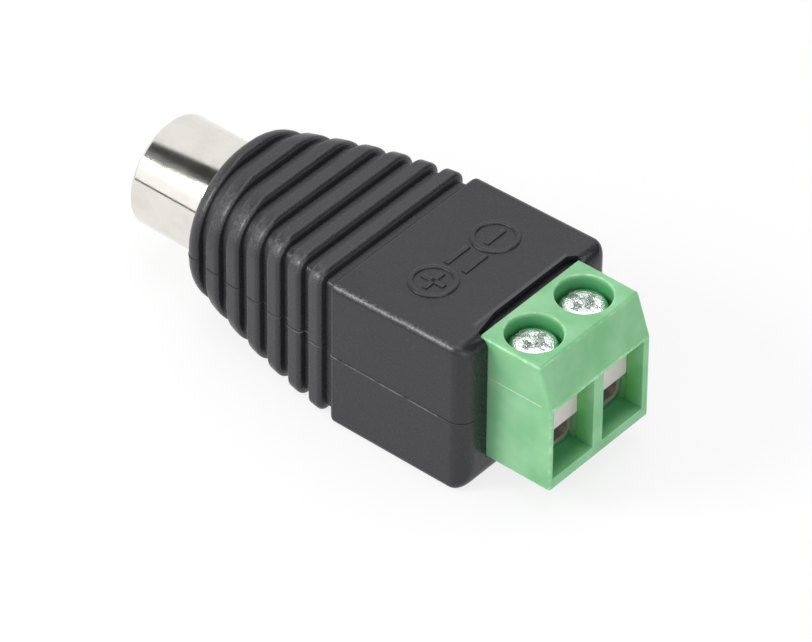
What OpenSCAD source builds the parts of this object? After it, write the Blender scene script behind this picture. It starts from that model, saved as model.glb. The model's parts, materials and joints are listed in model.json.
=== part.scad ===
// In-line phono socket with a two-pole screw terminal, ribbed overmoulded grip
// The socket mouth faces -X, the wire entries face +X and the base lies on Z = 0

/* [Socket barrel] */
// Outside diameter of the socket barrel
barrel_d = 8.3; // [7.8:0.05:8.8]
// Length of barrel that stands out of the nose
barrel_exposed = 6.6; // [5.5:0.1:9]
// Length of barrel held inside the overmould
barrel_buried = 6; // [5:0.1:7]
// Wall of the barrel
barrel_wall = 0.5; // [0.35:0.05:0.65]
// Rounding of the mouth's outer edge
rim_round = 0.25; // [0.15:0.05:0.35]
// How far the inward rim at the mouth reaches
rim_lip = 0.25; // [0.15:0.05:0.35]
// Step from the barrel's exposed length down to its buried length
rim_step = 0.2; // [0.2:0.05:0.25]
// How far the holding flange stands out of the barrel
flange_out = 0.4; // [0.25:0.05:0.5]
// Thickness of the holding flange
flange_t = 1; // [0.6:0.1:1.4]

/* [Centre contact] */
// Bore for the plug's pin
pin_bore_d = 3.2; // [3:0.05:3.4]
// Wall of the contact's sleeve
contact_wall = 0.45; // [0.3:0.05:0.6]
// Depth of the pin bore
pin_bore_len = 7; // [5.5:0.1:7.5]
// Number of slots between the spring leaves
leaf_slots = 4; // [2:1:5]
// Width of a slot between two leaves
leaf_slot_w = 0.3; // [0.2:0.05:0.35]
// Diameter of the contact's solid shank
shank_d = 2; // [1.6:0.1:2.4]
// Thickness of the flat solder tail
solder_tail_t = 0.6; // [0.4:0.05:0.8]
// Width of the flat solder tail
solder_tail_w = 1.2; // [0.9:0.1:1.3]
// Radial room round the pin in the insulator's mouth
pin_room = 0.3; // [0.2:0.05:0.3]

/* [Ground lug] */
// Sheet thickness of the lug
lug_t = 0.4; // [0.3:0.05:0.5]
// Hole in the lug's ring
lug_hole_d = 3.4; // [3:0.1:3.8]
// Width of the solder tab
lug_tab_w = 1.2; // [0.9:0.1:1.3]
// Length of the solder tab behind the ring
lug_tab_len = 3.6; // [3:0.1:4.2]
// Distance of the solder tab from the contact's shank
lug_tab_off = 1.3; // [1.1:0.1:1.5]

/* [Ribbed nose] */
// Wall of the nose ring round the barrel
nose_wall = 1.8; // [1.6:0.05:2]
// Length of the ribbed nose
nose_len = 13.9; // [13.2:0.1:15.5]
// Number of ribs
rib_count = 7; // [5:1:7]
// Width of a groove between two ribs
groove_w = 0.8; // [0.6:0.05:0.9]
// Depth of a groove
groove_d = 0.55; // [0.5:0.05:0.7]
// Rounding of a rib's edge towards the socket
rib_edge = 0.15; // [0.1:0.05:0.3]
// Rounding of a rib's edge towards the block
rib_lip = 0.4; // [0.25:0.05:0.45]
// Draft of a groove's walls
groove_draft = 0.06; // [0.03:0.01:0.1]
// Rounding of the nose ring's front edge
nose_round = 0.65; // [0.5:0.05:0.7]
// Flat left between the corners of the first rib
nose_flat = 0.15; // [0.1:0.05:0.4]
// Corner radius of the last rib
last_corner = 0.8; // [0.6:0.1:1.4]
// Least corner radius of a groove's floor
groove_corner = 0.3; // [0.2:0.05:0.5]

/* [Grip block] */
// Length of the block behind the ribs
block_len = 11.55; // [10.5:0.05:13]
// Wall of the block beside the terminal housing
side_wall = 2.4; // [2:0.05:3]
// Wall of the block under the terminal housing
under_wall = 2; // [1.6:0.05:2.6]
// Wall of the block over the terminal housing
over_wall = 0.25; // [0.2:0.05:0.5]
// How far the top rises from the ribs to the front
top_rise = 0.35; // [0:0.05:0.5]
// Rounding of the block's long edges
edge_round = 0.5; // [0.35:0.05:0.7]
// Rounding of the block's edges beside the last groove
rear_round = 0.4; // [0.3:0.05:0.6]
// Rounding of the block's front edges
front_round = 1.3; // [0.9:0.05:1.6]
// How far the block's top falls over that rounding
front_drop = 0.85; // [0.5:0.05:1.2]

/* [Terminal housing] */
// Distance between the two poles
pole_pitch = 5.08; // [5:0.01:5.5]
// Depth of the housing from front to back
housing_depth = 10; // [9.6:0.1:10.6]
// How far the housing stands out of the block
housing_out = 5.35; // [5.2:0.05:5.8]
// Height of the housing
housing_h = 10; // [9.8:0.05:10.6]
// How far the slope's top edge lies behind the front
slope_run = 1.1; // [0.9:0.05:1.25]
// Height of the slope over the wire entries
slope_drop = 3.15; // [2.8:0.05:3.2]
// Land between the slope and the wire entries
entry_land = 0.1; // [0.05:0.05:0.2]
// Width of a wire entry
entry_w = 4.1; // [3.8:0.05:4.15]
// How far a wire entry lies off its screw, towards the plus pole's side
entry_shift = 0.2; // [0:0.05:0.25]
// Partition between the two cells
cell_partition = 0.93; // [0.85:0.01:1]
// Floor under the cells
cell_floor = 0.95; // [0.9:0.05:1.05]
// Wall behind the cells
back_wall = 1.2; // [0.9:0.1:1.5]
// Thickness of the roof over the cages
roof_t = 2.5; // [2.4:0.05:2.55]
// Diameter of a screw well
well_d = 3.9; // [3.7:0.05:4.15]
// Chamfer of a screw well's mouth
well_chamfer = 0.1; // [0.05:0.05:0.2]
// Distance of the screw axes behind the front
screw_back = 3.63; // [3.55:0.01:3.8]

/* [Contact strips] */
// Sheet thickness of a strip
strip_t = 0.5; // [0.4:0.05:0.55]
// Height of a strip's underside over the housing's underside
strip_up = 3.25; // [3.15:0.05:3.4]
// Distance of the front plate behind the housing's front
plate_back = 1.4; // [1.3:0.05:1.5]
// Thickness of the front plate
plate_t = 0.4; // [0.3:0.05:0.45]
// Chamfer of the front plate's lower corners
plate_chamfer = 0.15; // [0.1:0.05:0.4]
// Width of a strip's tail
tail_w = 1.2; // [0.9:0.1:1.3]
// Length of a tail behind the housing
tail_len = 3; // [2.8:0.1:3.6]

/* [Clamp cages] */
// Sheet thickness of a cage
cage_t = 0.5; // [0.4:0.05:0.55]
// Length of a cage along the wire
cage_len = 3.4; // [3.2:0.05:3.45]
// Thickness of a cage's doubled top
cage_top = 1.2; // [1:0.05:1.25]
// Open height inside a cage
cage_window = 2.8; // [2.65:0.05:2.85]
// Height of a cage's underside over the cell floor
cage_rest = 0.1; // [0.05:0.05:0.2]
// Outer rounding of a cage's lower corners
cage_round = 0.9; // [0.7:0.05:1.1]
// Width of the seam in a cage's top
cage_seam = 0.35; // [0.2:0.05:0.5]

/* [Clamp screws] */
// Diameter of a screw head
head_d = 3.3; // [3.1:0.05:3.5]
// Height of a screw head
head_h = 1.5; // [1.35:0.05:1.55]
// Depth of a head below the housing's top
head_sunk = 0.7; // [0.6:0.05:0.85]
// Rounding of a head's edge
head_round = 0.3; // [0.15:0.05:0.4]
// Diameter of a screw's thread
thread_d = 2.5; // [2.2:0.05:2.6]
// Width of a driver slot
slot_w = 0.6; // [0.4:0.05:0.7]
// Depth of a driver slot
slot_d = 0.6; // [0.4:0.05:0.8]

/* [Leads] */
// Diameter of a lead's copper core
core_d = 0.8; // [0.6:0.05:0.9]
// Outside diameter of a lead's sleeve
sleeve_d = 1.6; // [1.5:0.05:1.8]
// Length of bare core at each end
bare_len = 2.6; // [2.3:0.1:2.9]
// Solder round a core
solder_wall = 0.6; // [0.5:0.05:0.7]
// Length of a solder joint
solder_len = 2; // [1.6:0.1:2.2]
// Film of solder between a core and what it lies on
solder_film = 0.06; // [0.04:0.01:0.1]
// Distance of a solder joint from the end of its tail
solder_inset = 0.2; // [0.1:0.05:0.3]

/* [Inner premould] */
// Width of the hard inner moulding
premould_w = 8.4; // [8.2:0.1:8.8]
// Height of the hard inner moulding
premould_h = 6.4; // [5.6:0.1:6.8]
// Rounding of its long edges
premould_round = 1.5; // [1:0.1:2]

/* [Clearances] */
// Gap between moulded-in pieces
mould_gap = 0.02; // [0.01:0.01:0.03]
// Gap between a cage and its cell
cage_gap = 0.1; // [0.08:0.01:0.12]
// Radial gap between a screw's thread and its cage
thread_gap = 0.05; // [0.03:0.01:0.08]
// Gap between a strip and the pieces it passes through
strip_gap = 0.05; // [0.03:0.01:0.07]

/* [Hidden] */
$fn = 48;

// Points on each rounded corner of a loft section
corner_steps = 7;
// Steps of each rounded lip along the loft
lip_steps = 3;
// Sides of a lead
lead_sides = 12;
// Steps of a lead's S-shaped stretch
lead_rings = 10;
// How fast the rib corners tighten towards the block
corner_fade = 1.8;
// Curve of the top's fall at the block's front, and the share of it that starts at once
drop_curve = 1.2;
drop_share = 0.75;
// Length by which a cutting body runs past the face it opens
past = 1;

// Overall sizes
housing_w = 2 * pole_pitch;
block_w = housing_w + 2 * side_wall;
block_h = under_wall + housing_h + over_wall;
total_len = barrel_exposed + nose_len + block_len + housing_out;

// Stations along X, from the mouth to the housing's front
mouth_x = -total_len / 2;
nose_x = mouth_x + barrel_exposed;
block_x = nose_x + nose_len;
block_front_x = block_x + block_len;
front_x = block_front_x + housing_out;
housing_back_x = front_x - housing_depth;
barrel_back_x = nose_x + barrel_buried;

// Heights
axis_z = (block_h - top_rise) / 2;
housing_z = under_wall;
housing_top_z = housing_z + housing_h;
cell_z = housing_z + cell_floor;
slope_z = housing_top_z - slope_drop;
entry_top_z = slope_z - entry_land;
roof_z = housing_top_z - roof_t;
strip_z = housing_z + strip_up;
strip_top_z = strip_z + strip_t;

// Nose and block
barrel_r = barrel_d / 2;
nose_r = barrel_r + nose_wall;
rib_pitch = nose_len / rib_count;
rib_w = rib_pitch - groove_w;
nose_corner = nose_r - nose_flat;

// Barrel and what it holds
bore_r = barrel_r - barrel_wall;
buried_r = barrel_r - rim_step;
step_x = nose_x + rim_step / 2;
flange_x = nose_x + barrel_buried / 2 - flange_t / 2;
lug_x = barrel_back_x - lug_t - barrel_wall;
insulator_x = mouth_x + rim_lip + rim_round;
insulator_r = bore_r - mould_gap;
contact_r = pin_bore_d / 2 + contact_wall;
contact_x = insulator_x + barrel_wall;
contact_back_x = contact_x + pin_bore_len + contact_wall;
lug_tab_x = barrel_back_x + lug_tab_len;
solder_tail_x = barrel_back_x + lug_tab_len;
lug_tab_y = shank_d / 2 + lug_tab_off;

// Terminal parts
screw_x = front_x - screw_back;
plate_x = front_x - plate_back - plate_t;
entry_x = plate_x + plate_t + strip_gap;
cage_front_x = plate_x - cage_gap;
cage_x = cage_front_x - cage_len;
cell_w = pole_pitch - cell_partition;
cell_back_x = housing_back_x + back_wall;
cage_w = cell_w - 2 * cage_gap;
cage_z = cell_z + cage_rest;
cage_h = cage_t + cage_window + cage_top;
window_w = cage_w - 2 * cage_t;
tongue_w = window_w - 2 * cage_gap;
plate_w = cell_w - 2 * strip_gap;
plate_top_z = roof_z - strip_gap;
head_top_z = housing_top_z - head_sunk;
tail_end_x = housing_back_x - tail_len;
plus_y = -pole_pitch / 2;
minus_y = pole_pitch / 2;

// Lead routes: each starts and ends flat on the piece that it is soldered to
core_r = core_d / 2;
sleeve_r = sleeve_d / 2;
solder_r = core_r + solder_wall;
lead_start_x = solder_tail_x - bare_len;
lead_end_x = tail_end_x + bare_len;
socket_plus = [lead_start_x, 0, axis_z + solder_tail_t / 2 + solder_film + core_r];
terminal_plus = [lead_end_x, plus_y, strip_top_z + solder_film + core_r];
socket_minus = [lead_start_x, lug_tab_y + lug_t + solder_film + core_r, axis_z];
terminal_minus = [lead_end_x, minus_y, strip_top_z + solder_film + core_r];

// Rounded rectangle in the Y-Z plane, half width a, half height b, corner radius r
function section(a, b, r) = [for (q = [0:3]) for (k = [0:corner_steps])
    let (t = 90 * (q + k / corner_steps), sy = (q == 0 || q == 3) ? 1 : -1, sz = q < 2 ? 1 : -1)
    [sy * (a - r) + r * cos(t), sz * (b - r) + r * sin(t)]];

// Envelope of the ribs at x: [half width, half height, corner radius]
function rib_share(x) = min(1, max(0, (x - nose_x) / nose_len));
function rib_envelope(x) = let (u = rib_share(x))
    [nose_r + (block_w / 2 - nose_r) * u,
    nose_r + (axis_z - nose_r) * u,
    last_corner + (nose_corner - last_corner) * pow(1 - u, corner_fade)];

// A ring of points at x, inset by e from the rib envelope
function rib_ring(x, e) = let (v = rib_envelope(x))
    [for (p = section(v[0] - e, v[1] - e, max(v[2] - e, groove_corner))) [x, p[0], axis_z + p[1]]];

// A ring of points at x on the block, inset by e, and by q at its top, which rises to the front
function block_top(x) = block_h - top_rise * (1 - (x - block_x) / block_len);
function block_ring(x, e, q) = let (h = (block_top(x) - q - e) / 2, r = max(edge_round, e * 0.75))
    [for (p = section(block_w / 2 - e, h, r)) [x, p[0], e + h + p[1]]];

// Stations [x, inset] of a rounded lip that rises after x, or falls before it
function lip_up(x, r) = [for (k = [0:lip_steps]) let (t = 90 * k / lip_steps)
    [x + r * (1 - cos(t)), r * (1 - sin(t))]];
function lip_down(x, r) = [for (k = [lip_steps:-1:0]) let (t = 90 * k / lip_steps)
    [x - r * (1 - cos(t)), r * (1 - sin(t))]];

// Stations of rib i, followed by the floor of the groove behind it
function rib_stations(i) = let (x0 = nose_x + i * rib_pitch, x1 = x0 + rib_w)
    concat(lip_up(x0, i == 0 ? nose_round : rib_edge), lip_down(x1, rib_lip),
    [[x1 + groove_draft, groove_d], [x1 + groove_w - groove_draft, groove_d]]);

// Stations [x, inset, top inset] of the block's front, whose top falls away faster at first
function front_roll() = [for (k = [lip_steps:-1:0]) let (t = 90 * k / lip_steps, s = 1 - sin(t))
    [block_front_x - front_round * (1 - cos(t)), front_round * s,
    front_drop * (drop_share * pow(cos(t), drop_curve) + (1 - drop_share) * s)]];

function overmould_rings() = concat(
    [for (i = [0:rib_count - 1]) for (s = rib_stations(i)) rib_ring(s[0], s[1])],
    [for (s = lip_up(block_x, rear_round)) block_ring(s[0], s[1], s[1])],
    [for (s = front_roll()) block_ring(s[0], s[1], s[2])]);

// Solid lofted through rings of equally many points, each ring counter-clockwise seen from +X
module loft(rings) {
    n = len(rings[0]);
    m = len(rings);
    points = [for (r = rings) for (p = r) p];
    sides = [for (i = [0:m - 2]) for (j = [0:n - 1]) let (k = (j + 1) % n)
        each [[i * n + j, (i + 1) * n + k, i * n + k], [i * n + j, (i + 1) * n + j, (i + 1) * n + k]]];
    ends = [[for (j = [0:n - 1]) j], [for (j = [n - 1:-1:0]) (m - 1) * n + j]];
    polyhedron(points, concat(sides, ends), convexity = 10);
}

// Point at x on a lead's route from a to b: straight over the bare ends, S-shaped between them
function route(a, b, x) = let (u = min(1, max(0, (x - a[0] - bare_len) / (b[0] - a[0] - 2 * bare_len))),
    w = (1 - cos(180 * u)) / 2) [x, a[1] + (b[1] - a[1]) * w, a[2] + (b[2] - a[2]) * w];

// Round bar of radius r along the S-shaped stretch of a lead, longer by ends at both ends
module lead_bar(a, b, r, ends) {
    x0 = a[0] + bare_len;
    x1 = b[0] - bare_len;
    bends = [for (i = [0:lead_rings]) x0 + (x1 - x0) * i / lead_rings];
    stations = ends > 0 ? concat([x0 - ends], bends, [x1 + ends]) : bends;
    loft([for (x = stations) let (c = route(a, b, x)) [for (j = [0:lead_sides - 1])
        let (t = 360 * j / lead_sides) [c[0], c[1] + r * cos(t), c[2] + r * sin(t)]]]);
}

// Cylinder along +X from x, centred on the socket's axis
module axial(x, length, r) {
    translate([x, 0, axis_z]) rotate([0, 90, 0]) cylinder(h = length, r = r);
}

// Body turned about the socket's axis, its profile given as [radius, x] points
module turned(profile) {
    translate([0, 0, axis_z]) rotate([0, 90, 0]) rotate_extrude() polygon(profile);
}

// Box with low corner at [x, y, z]
module block_at(x, y, z, sx, sy, sz) {
    translate([x, y, z]) cube([sx, sy, sz]);
}

// Box centred on y
module centred_bar(x, y, z, sx, sy, sz) {
    translate([x, y - sy / 2, z]) cube([sx, sy, sz]);
}

// Bar along X with four rounded long edges, centred on the socket's axis
module rounded_bar(x, length, w, h, r) {
    translate([x, 0, axis_z]) rotate([90, 0, 90]) linear_extrude(height = length)
        polygon(section(w / 2, h / 2, r));
}

module barrel_cut(gap) {
    axial(nose_x - past, step_x - nose_x + past + gap, barrel_r + gap);
    axial(nose_x - past, barrel_buried + past + gap, buried_r + gap);
    axial(flange_x - gap, flange_t + 2 * gap, barrel_r + flange_out + gap);
}

module overmould_body() {
    color([0.15, 0.15, 0.16]) difference() {
        loft(overmould_rings());
        barrel_cut(mould_gap);
        rounded_bar(barrel_back_x, housing_back_x - barrel_back_x + past, premould_w + 2 * mould_gap,
            premould_h + 2 * mould_gap, premould_round + mould_gap);
        centred_bar(housing_back_x - mould_gap, 0, housing_z - mould_gap, housing_depth,
            housing_w + 2 * mould_gap, housing_h + 2 * mould_gap);
    }
}

module solder_form(c, gap) {
    half = solder_len / 2 + gap;
    r = solder_r + gap;
    neck = core_r + solder_wall / 4 + gap;
    translate(c) rotate([0, 90, 0]) rotate_extrude()
        polygon([[0, -half], [neck, -half], [r, -half / 2], [r, half / 2], [neck, half], [0, half]]);
}

// Centres of the four solder joints, between each core and what it lies on
function joint_socket_plus() = [solder_tail_x - solder_len / 2 - solder_inset, 0, axis_z + core_r];
function joint_socket_minus() = [lug_tab_x - solder_len / 2 - solder_inset,
    lug_tab_y + lug_t / 2 + core_r, axis_z];
function joint_terminal(y) = [tail_end_x + solder_len / 2 + solder_inset, y,
    strip_z + strip_t / 2 + core_r];

module solder_tail(gap) {
    centred_bar(barrel_back_x - past, 0, axis_z - solder_tail_t / 2 - gap,
        solder_tail_x - barrel_back_x + past + gap, solder_tail_w + 2 * gap, solder_tail_t + 2 * gap);
}

module lug_tab(gap) {
    block_at(lug_x + lug_t / 2, lug_tab_y - gap, axis_z - lug_tab_w / 2 - gap,
        lug_tab_x - lug_x - lug_t / 2 + gap, lug_t + 2 * gap, lug_tab_w + 2 * gap);
}

module strip_tail(y, gap) {
    centred_bar(tail_end_x - gap, y, strip_z - gap, cell_back_x - tail_end_x + 2 * gap + strip_t,
        tail_w + 2 * gap, strip_t + 2 * gap);
}

module inner_premould() {
    front = barrel_back_x + mould_gap;
    back = housing_back_x - mould_gap;
    color([0.83, 0.81, 0.74]) difference() {
        rounded_bar(front, back - front, premould_w, premould_h, premould_round);
        axial(front - past, shank_d / 2 + past, shank_d / 2 + mould_gap);
        solder_tail(mould_gap);
        lug_tab(mould_gap);
        for (y = [plus_y, minus_y]) {
            strip_tail(y, mould_gap);
            solder_form(joint_terminal(y), mould_gap);
        }
        solder_form(joint_socket_plus(), mould_gap);
        solder_form(joint_socket_minus(), mould_gap);
        lead_bar(socket_plus, terminal_plus, sleeve_r + mould_gap, bare_len);
        lead_bar(socket_minus, terminal_minus, sleeve_r + mould_gap, bare_len);
    }
}

module socket_barrel() {
    r = barrel_r;
    color([0.86, 0.85, 0.82]) difference() {
        union() {
            turned([[0, mouth_x], [r - rim_round, mouth_x], [r, mouth_x + rim_round], [r, step_x],
                [buried_r, step_x], [buried_r, barrel_back_x], [0, barrel_back_x]]);
            axial(flange_x, flange_t, r + flange_out);
        }
        axial(mouth_x - past, insulator_x - mouth_x + past, bore_r - rim_lip);
        axial(insulator_x, barrel_back_x - barrel_wall - insulator_x, bore_r);
        axial(mouth_x, total_len / 2, bore_r - rim_lip);
    }
}

module socket_insulator() {
    front = insulator_x + mould_gap;
    back = lug_x - mould_gap;
    color([0.92, 0.92, 0.9]) difference() {
        axial(front, back - front, insulator_r);
        axial(front - past, back - front + 2 * past, shank_d / 2 + mould_gap);
        axial(contact_x - mould_gap, contact_back_x - contact_x + 2 * mould_gap, contact_r + mould_gap);
        axial(front - past, contact_x - front + past, pin_bore_d / 2 + pin_room);
    }
}

module centre_contact() {
    color([0.85, 0.76, 0.5]) difference() {
        union() {
            axial(contact_x, contact_back_x - contact_x, contact_r);
            axial(contact_back_x - past, barrel_back_x + shank_d / 2 - contact_back_x + past, shank_d / 2);
            solder_tail(0);
        }
        axial(contact_x - past, pin_bore_len + past, pin_bore_d / 2);
        for (i = [0:leaf_slots - 1])
            translate([0, 0, axis_z]) rotate([i * 360 / leaf_slots, 0, 0])
                translate([contact_x - past, -leaf_slot_w / 2, 0])
                    cube([pin_bore_len - contact_wall + past, leaf_slot_w, contact_r + past]);
    }
}

module ground_lug() {
    color([0.8, 0.8, 0.78]) difference() {
        union() {
            axial(lug_x, lug_t, insulator_r);
            lug_tab(0);
        }
        axial(lug_x - past, lug_t + 2 * past, lug_hole_d / 2);
    }
}

// Side of the housing as [x, z] points
housing_side = [[housing_back_x, housing_z], [front_x, housing_z], [front_x, slope_z],
    [front_x - slope_run, housing_top_z], [housing_back_x, housing_top_z]];

module terminal_housing() {
    color([0.45, 0.75, 0.5]) difference() {
        translate([0, housing_w / 2, 0]) rotate([90, 0, 0])
            linear_extrude(height = housing_w) polygon(housing_side);
        for (y = [plus_y, minus_y]) {
            centred_bar(entry_x - strip_gap, y - entry_shift, cell_z, housing_depth, entry_w,
                entry_top_z - cell_z);
            centred_bar(cell_back_x, y, cell_z, entry_x - cell_back_x, cell_w, roof_z - cell_z);
            translate([screw_x, y, roof_z - past]) cylinder(h = roof_t + 2 * past, r = well_d / 2);
            translate([screw_x, y, housing_top_z - well_chamfer])
                cylinder(h = 2 * well_chamfer, r1 = well_d / 2, r2 = well_d / 2 + 2 * well_chamfer);
            centred_bar(housing_back_x - past, y, strip_z - strip_gap, back_wall + 2 * past,
                tail_w + 2 * strip_gap, strip_t + 2 * strip_gap);
        }
    }
}

// Front plate of a strip as [y, z] points, its lower corners chamfered
module front_plate(y) {
    h = plate_top_z - strip_z;
    w = plate_w / 2;
    c = plate_chamfer;
    translate([plate_x, y, strip_z]) rotate([90, 0, 90]) linear_extrude(height = plate_t)
        polygon([[c - w, 0], [w - c, 0], [w, c], [w, h], [-w, h], [-w, c]]);
}

module contact_strip(y) {
    color([0.85, 0.84, 0.83]) {
        strip_tail(y, 0);
        centred_bar(cell_back_x + strip_gap, y, strip_z, plate_x + plate_t - cell_back_x - strip_gap,
            tongue_w, strip_t);
        front_plate(y);
    }
}

// Upright rectangle on [0, 0] with lower corner radius r and upper corner radius q
module cage_outline(w, h, r, q) {
    for (s = [-1, 1]) {
        translate([s * (w / 2 - r), r]) circle(r);
        translate([s * (w / 2 - q), h - q]) circle(q);
    }
    translate([-w / 2, r]) square([w, h - r - q]);
    translate([r - w / 2, 0]) square([w - 2 * r, h]);
    translate([q - w / 2, r]) square([w - 2 * q, h - r]);
}

module clamp_cage(y) {
    inner = cage_round - cage_t;
    color([0.78, 0.78, 0.8]) difference() {
        translate([cage_x, y, cage_z]) rotate([90, 0, 90]) linear_extrude(height = cage_len)
            difference() {
                cage_outline(cage_w, cage_h, cage_round, cage_t / 2);
                translate([0, cage_t]) cage_outline(window_w, cage_window, inner, inner / 2);
            }
        translate([screw_x, y, cage_z + cage_h - cage_top - past])
            cylinder(h = cage_top + 2 * past, r = thread_d / 2 + thread_gap);
        centred_bar(cage_x - past, y - cage_w / 2 + cage_t, cage_z + cage_h - cage_top / 2,
            cage_len + 2 * past, cage_seam, cage_top);
    }
}

module clamp_screw(y) {
    r = head_d / 2;
    q = head_round;
    base_z = head_top_z - head_h;
    tip_z = strip_top_z + strip_gap / 2;
    color([0.82, 0.84, 0.85]) difference() {
        union() {
            translate([screw_x, y, 0]) rotate_extrude() polygon([[0, base_z], [r, base_z],
                [r, head_top_z - q], [r - q * 0.3, head_top_z - q * 0.3], [r - q, head_top_z],
                [0, head_top_z]]);
            translate([screw_x, y, tip_z]) cylinder(h = base_z - tip_z + head_h / 2, r = thread_d / 2);
        }
        translate([screw_x, y, head_top_z - slot_d]) for (a = [0, 90]) rotate([0, 0, a])
            translate([-head_d, -slot_w / 2, 0]) cube([2 * head_d, slot_w, 2 * slot_d]);
    }
}

module lead_core(a, b) {
    color([0.85, 0.5, 0.3]) lead_bar(a, b, core_r, bare_len);
}

module lead_sleeve(a, b, tint) {
    color(tint) difference() {
        lead_bar(a, b, sleeve_r, 0);
        lead_bar(a, b, core_r + mould_gap, bare_len);
    }
}

module solder_socket_plus() {
    color([0.75, 0.76, 0.78]) difference() {
        solder_form(joint_socket_plus(), 0);
        solder_tail(0);
        lead_bar(socket_plus, terminal_plus, core_r, bare_len);
    }
}

module solder_socket_minus() {
    color([0.75, 0.76, 0.78]) difference() {
        solder_form(joint_socket_minus(), 0);
        lug_tab(0);
        lead_bar(socket_minus, terminal_minus, core_r, bare_len);
    }
}

module solder_terminal(y, a, b) {
    color([0.75, 0.76, 0.78]) difference() {
        solder_form(joint_terminal(y), 0);
        strip_tail(y, 0);
        lead_bar(a, b, core_r, bare_len);
    }
}

overmould_body();
inner_premould();
socket_barrel();
socket_insulator();
centre_contact();
ground_lug();
terminal_housing();
contact_strip(plus_y);  // contact_strip_plus
contact_strip(minus_y);  // contact_strip_minus
clamp_cage(plus_y);  // clamp_cage_plus
clamp_cage(minus_y);  // clamp_cage_minus
clamp_screw(plus_y);  // clamp_screw_plus
clamp_screw(minus_y);  // clamp_screw_minus
lead_core(socket_plus, terminal_plus);  // lead_core_plus
lead_core(socket_minus, terminal_minus);  // lead_core_minus
lead_sleeve(socket_plus, terminal_plus, "firebrick");  // lead_sleeve_plus
lead_sleeve(socket_minus, terminal_minus, "dimgray");  // lead_sleeve_minus
solder_socket_plus();
solder_socket_minus();
solder_terminal(plus_y, socket_plus, terminal_plus);  // solder_terminal_plus
solder_terminal(minus_y, socket_minus, terminal_minus);  // solder_terminal_minus
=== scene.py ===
"""Looks of an in-line phono socket with a two-pole screw terminal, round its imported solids.

Sizes are in millimetres until a piece is finished, which turns it to metres in the CAD frame:
+X towards the wire entries, -Y the plus pole's side, +Z up.
"""

import json
import logging
import math
from collections.abc import Callable, Iterable, Sequence
from dataclasses import dataclass, field
from enum import Enum
from typing import NamedTuple

import bmesh
import bpy
from mathutils import Matrix, Vector


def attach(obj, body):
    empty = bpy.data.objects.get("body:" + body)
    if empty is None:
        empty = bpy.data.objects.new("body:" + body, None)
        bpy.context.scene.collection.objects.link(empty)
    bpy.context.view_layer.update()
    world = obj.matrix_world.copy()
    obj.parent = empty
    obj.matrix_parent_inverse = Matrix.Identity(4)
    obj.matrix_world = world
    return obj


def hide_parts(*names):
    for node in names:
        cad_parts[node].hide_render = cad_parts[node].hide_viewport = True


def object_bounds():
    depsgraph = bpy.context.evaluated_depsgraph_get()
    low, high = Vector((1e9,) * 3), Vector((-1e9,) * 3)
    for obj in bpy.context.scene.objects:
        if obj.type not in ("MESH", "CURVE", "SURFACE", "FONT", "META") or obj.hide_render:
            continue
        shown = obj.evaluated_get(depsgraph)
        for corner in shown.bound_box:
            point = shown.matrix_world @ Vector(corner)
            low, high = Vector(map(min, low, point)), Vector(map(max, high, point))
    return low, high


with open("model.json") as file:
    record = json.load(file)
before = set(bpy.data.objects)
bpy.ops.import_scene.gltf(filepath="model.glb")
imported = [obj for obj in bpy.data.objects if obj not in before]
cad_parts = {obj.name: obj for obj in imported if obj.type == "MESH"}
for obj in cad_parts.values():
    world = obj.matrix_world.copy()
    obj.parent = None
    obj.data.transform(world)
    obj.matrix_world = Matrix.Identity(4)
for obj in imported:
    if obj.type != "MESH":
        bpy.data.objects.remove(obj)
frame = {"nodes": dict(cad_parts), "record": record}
CAD_LOW, CAD_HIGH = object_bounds()

MM = 0.001
SAME = 1e-4
HALF = 0.5
LOG = logging.getLogger("phono_socket")
Piece = bpy.types.Object
Point = tuple[float, float, float]
Colour = tuple[float, float, float]
Span = tuple[float, float]
Section = tuple[float, float, float, float, float]


class Axis(Enum):
    """Direction that a turned or round piece is centred on."""

    X = (0.0, math.pi / 2, 0.0)
    Z = (0.0, 0.0, 0.0)


class Noise(NamedTuple):
    """Noise between 0 and 1 whose features are about size millimetres across, or drawn out by stretch."""

    size: float
    detail: float = 2
    rough: float = 0.5
    stretch: Point = (1, 1, 1)


class Grain(Enum):
    """Fine relief of a metal."""

    TURNED = Noise(0.05, stretch=(1, 0.02, 0.02))
    ROLLED = Noise(0.05, stretch=(0.03, 1, 1))
    PLATED = Noise(0.16)


@dataclass(frozen=True)
class Layout:
    """Stations that several sub-assemblies and finishes share; past_y and past_z clear the housing."""

    mouth_x: float = -18.7
    nose_x: float = -12.1
    block_x: float = 1.8
    block_front_x: float = 13.35
    front_x: float = 18.7
    axis_z: float = 5.95
    nose_half: float = 5.95
    nose_corner: float = 5.8
    last_corner: float = 0.8
    corner_fade: float = 1.8
    block_half: float = 7.45
    block_h: float = 12.25
    top_rise: float = 0.35
    pole_y: float = 2.54
    screw_x: float = 15.07
    gap: float = 0.02
    barrel_r: float = 4.15
    barrel_step_x: float = -12.0
    buried_r: float = 3.95
    flange_r: float = 4.55
    flange_x: Span = (-9.6, -8.6)
    barrel_back_x: float = -6.1
    housing_x: float = 8.7
    housing_half: float = 5.08
    housing_z: Span = (2.0, 12.0)
    past_y: float = 6.0
    past_z: float = 14.0

    def block_top(self, x: "float | Shade") -> "float | Shade":
        """Height of the block's top at x, which rises to the front."""
        share = (x - self.block_x) / (self.block_front_x - self.block_x)
        return self.block_h - self.top_rise * (1 - share)

    @property
    def top_tilt(self) -> float:
        """Slope of the block's top, in radians."""
        return math.atan2(self.top_rise, self.block_front_x - self.block_x)


# ---- modelling bench


def deselect() -> None:
    """Leaves edit mode and deselects every object."""
    if bpy.context.mode != "OBJECT":
        bpy.ops.object.mode_set(mode="OBJECT")
    bpy.ops.object.select_all(action="DESELECT")


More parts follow.
